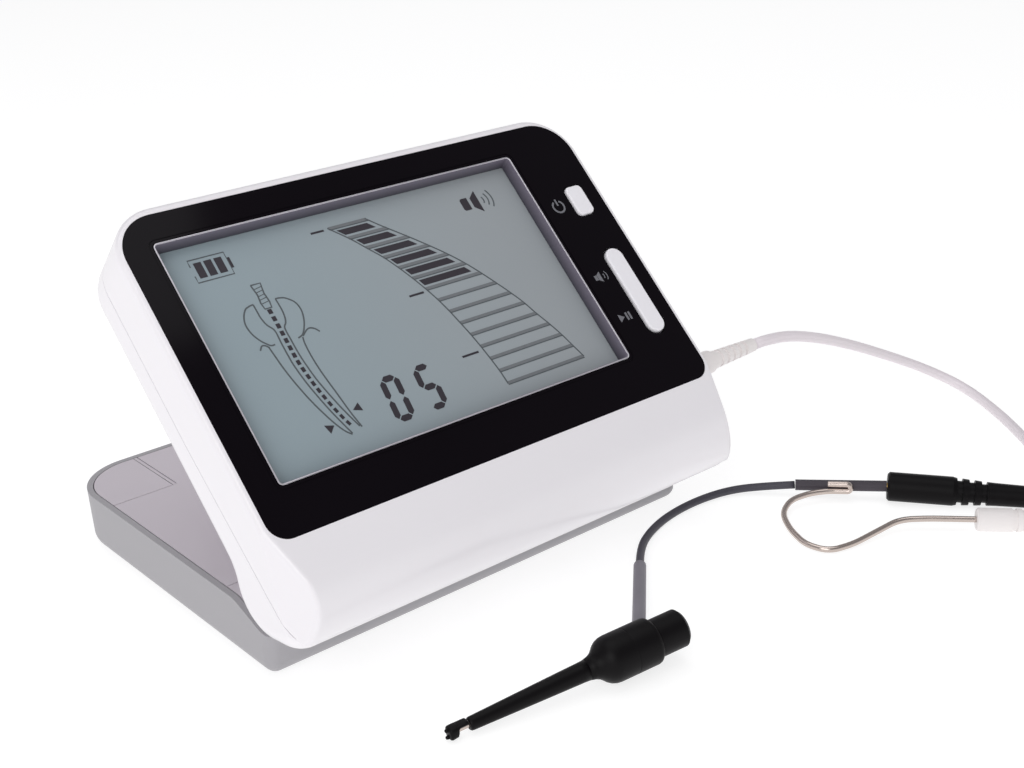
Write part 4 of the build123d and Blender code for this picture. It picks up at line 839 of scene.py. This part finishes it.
def sectionLoft(name, centres, wide, tall, side, up, power=0.7, sides=28):
    # section: |cos| and |sin| to a power, round at 1 and boxier below it; the ends close on their middles
    angle = np.linspace(0, 2 * np.pi, sides, endpoint=False)
    across = np.sign(np.cos(angle)) * np.abs(np.cos(angle)) ** power
    above = np.sign(np.sin(angle)) * np.abs(np.sin(angle)) ** power
    body = centres[:, None] + wide[:, None, None] * across[None, :, None] * side
    body = (body + tall[:, None, None] * above[None, :, None] * up).reshape(-1, 3)
    corners = np.vstack([body, centres[:1], centres[-1:]])
    return facesOut(meshPiece(name, corners, cappedFaces(len(centres), sides)))


def makeClipOutlet(c):
    # tapered foot of the lead's sleeve, from the barrel's side towards the lead
    start, aim = clipFrame(c)[:2]
    foot = start + aim * c["outletAt"] / 1000
    away = np.array(c["leadAt"]) / 1000 - foot
    away /= np.linalg.norm(away)
    above = np.cross(away, aim)
    above /= np.linalg.norm(above)
    reach, radius = np.array(c["outlet"]).T / 1000
    centres = foot + reach[:, None] * away
    made = sectionLoft("clipOutlet", centres, radius, radius, np.cross(above, away), above, power=1.0)
    made.data.materials.append(sleeveLight)
    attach(made, "base")


def makeClipHead(c):
    # a lofted head on the plunger and two tapered prongs, one above the other
    start, aim, up, side = clipFrame(c)
    at, lift = np.array(c["headAt"]) / 1000, np.array(c["headUp"]) / 1000
    wide, tall = np.array(c["headWide"]) / 1000, np.array(c["headTall"]) / 1000
    head = sectionLoft("clipHead", start + at[:, None] * aim + lift[:, None] * up, wide, tall, side, up)
    parts = [head]
    radius = np.array(c["prongTaper"]) * c["prongRadius"] / 1000
    run = np.linspace(*c["prongAt"], len(radius))[:, None] / 1000
    for n, prongUp in enumerate(c["prongUp"]):
        centres = start + run * aim + prongUp / 1000 * up
        name = "clipProng" + str(n)
        parts.append(sectionLoft(name, centres, radius, radius, side, up, power=0.9, sides=14))
    for piece in parts:
        piece.data.materials.append(finishes["black_plastic"])
        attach(piece, "clip_plunger")
    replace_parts(head, "clip_jaw")


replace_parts(turnedPiece("clipBarrel", fileClip, fileClip["barrel"]), "clip_body")
turnedPiece("clipNose", fileClip, fileClip["nose"])
makeClipOutlet(fileClip)
makeClipHead(fileClip)
print("file clip made")

# each cord's first point and its diameter are worked out here and not used
for tube, line, c in leads:
    tuple(v / 1000 for v in c["route"][0])
    2 * c["radius"] / 1000

# glowing white floor, a surround that is bright low down, and two square lights; metres and watts
studio = {"floorHalf": 12.0, "floorTone": (0.38, 0.38, 0.38), "floorGlow": 0.76,
          "horizon": (0.95, 0.95, 0.95), "overhead": (0.3, 0.3, 0.31), "horizonTop": 0.1, "overheadFrom": 0.5,
          "lights": [
              {"name": "keyLight", "place": (-0.9, -0.55, 0.7), "aim": (0.0, -0.02, 0.04),
               "size": 0.8, "power": 5.0},
              {"name": "topLight", "place": (0.0, 0.1, 1.2), "aim": (0.0, 0.0, 0.0),
               "size": 1.1, "power": 4.5}]}


def makeWorld(c):
    # bright round the horizon, dimmer overhead, by the height of the direction
    s = Sheet("studio", bpy.data.worlds, "ShaderNodeBackground", "ShaderNodeOutputWorld")
    height = s.add("ShaderNodeSeparateXYZ", None, {0: s.place("Generated")}).pick("Z")
    share = s.add("ShaderNodeMapRange", {"interpolation_type": "SMOOTHSTEP"},
                  {"Value": height, "From Min": c["horizonTop"], "From Max": c["overheadFrom"]})
    scene.world = s.finish(Color=s.blendColour(share, shade(c["horizon"]), shade(c["overhead"])))


def makeStudio(c):
    half = c["floorHalf"]
    corners = np.array([(-half, -half, 0), (half, -half, 0), (half, half, 0), (-half, half, 0)], float)
    floor = meshPiece("floor", corners, [[0, 1, 2, 3]], smooth=False)
    s = Sheet("floor")
    cloud = s.blendColour(s.noise(3.0, 2.0), shade(c["floorTone"], 0.99), shade(c["floorTone"]))
    floor.data.materials.append(s.finish(Base_Color=cloud, Roughness=0.6,
                                         Specular_IOR_Level=0.0, Emission_Color=(1, 1, 1, 1),
                                         Emission_Strength=c["floorGlow"]))
    makeWorld(c)
    for lamp in c["lights"]:
        data = bpy.data.lights.new(lamp["name"], "AREA")
        data.shape, data.size, data.energy = "SQUARE", lamp["size"], lamp["power"]
        light = bpy.data.objects.new(lamp["name"], data)
        scene.collection.objects.link(light)
        light.location = lamp["place"]
        aim = Vector(lamp["aim"]) - Vector(lamp["place"])
        light.rotation_euler = aim.to_track_quat("-Z", "Y").to_euler()
    scene.view_settings.view_transform = "Standard"


makeStudio(studio)
print("studio made")
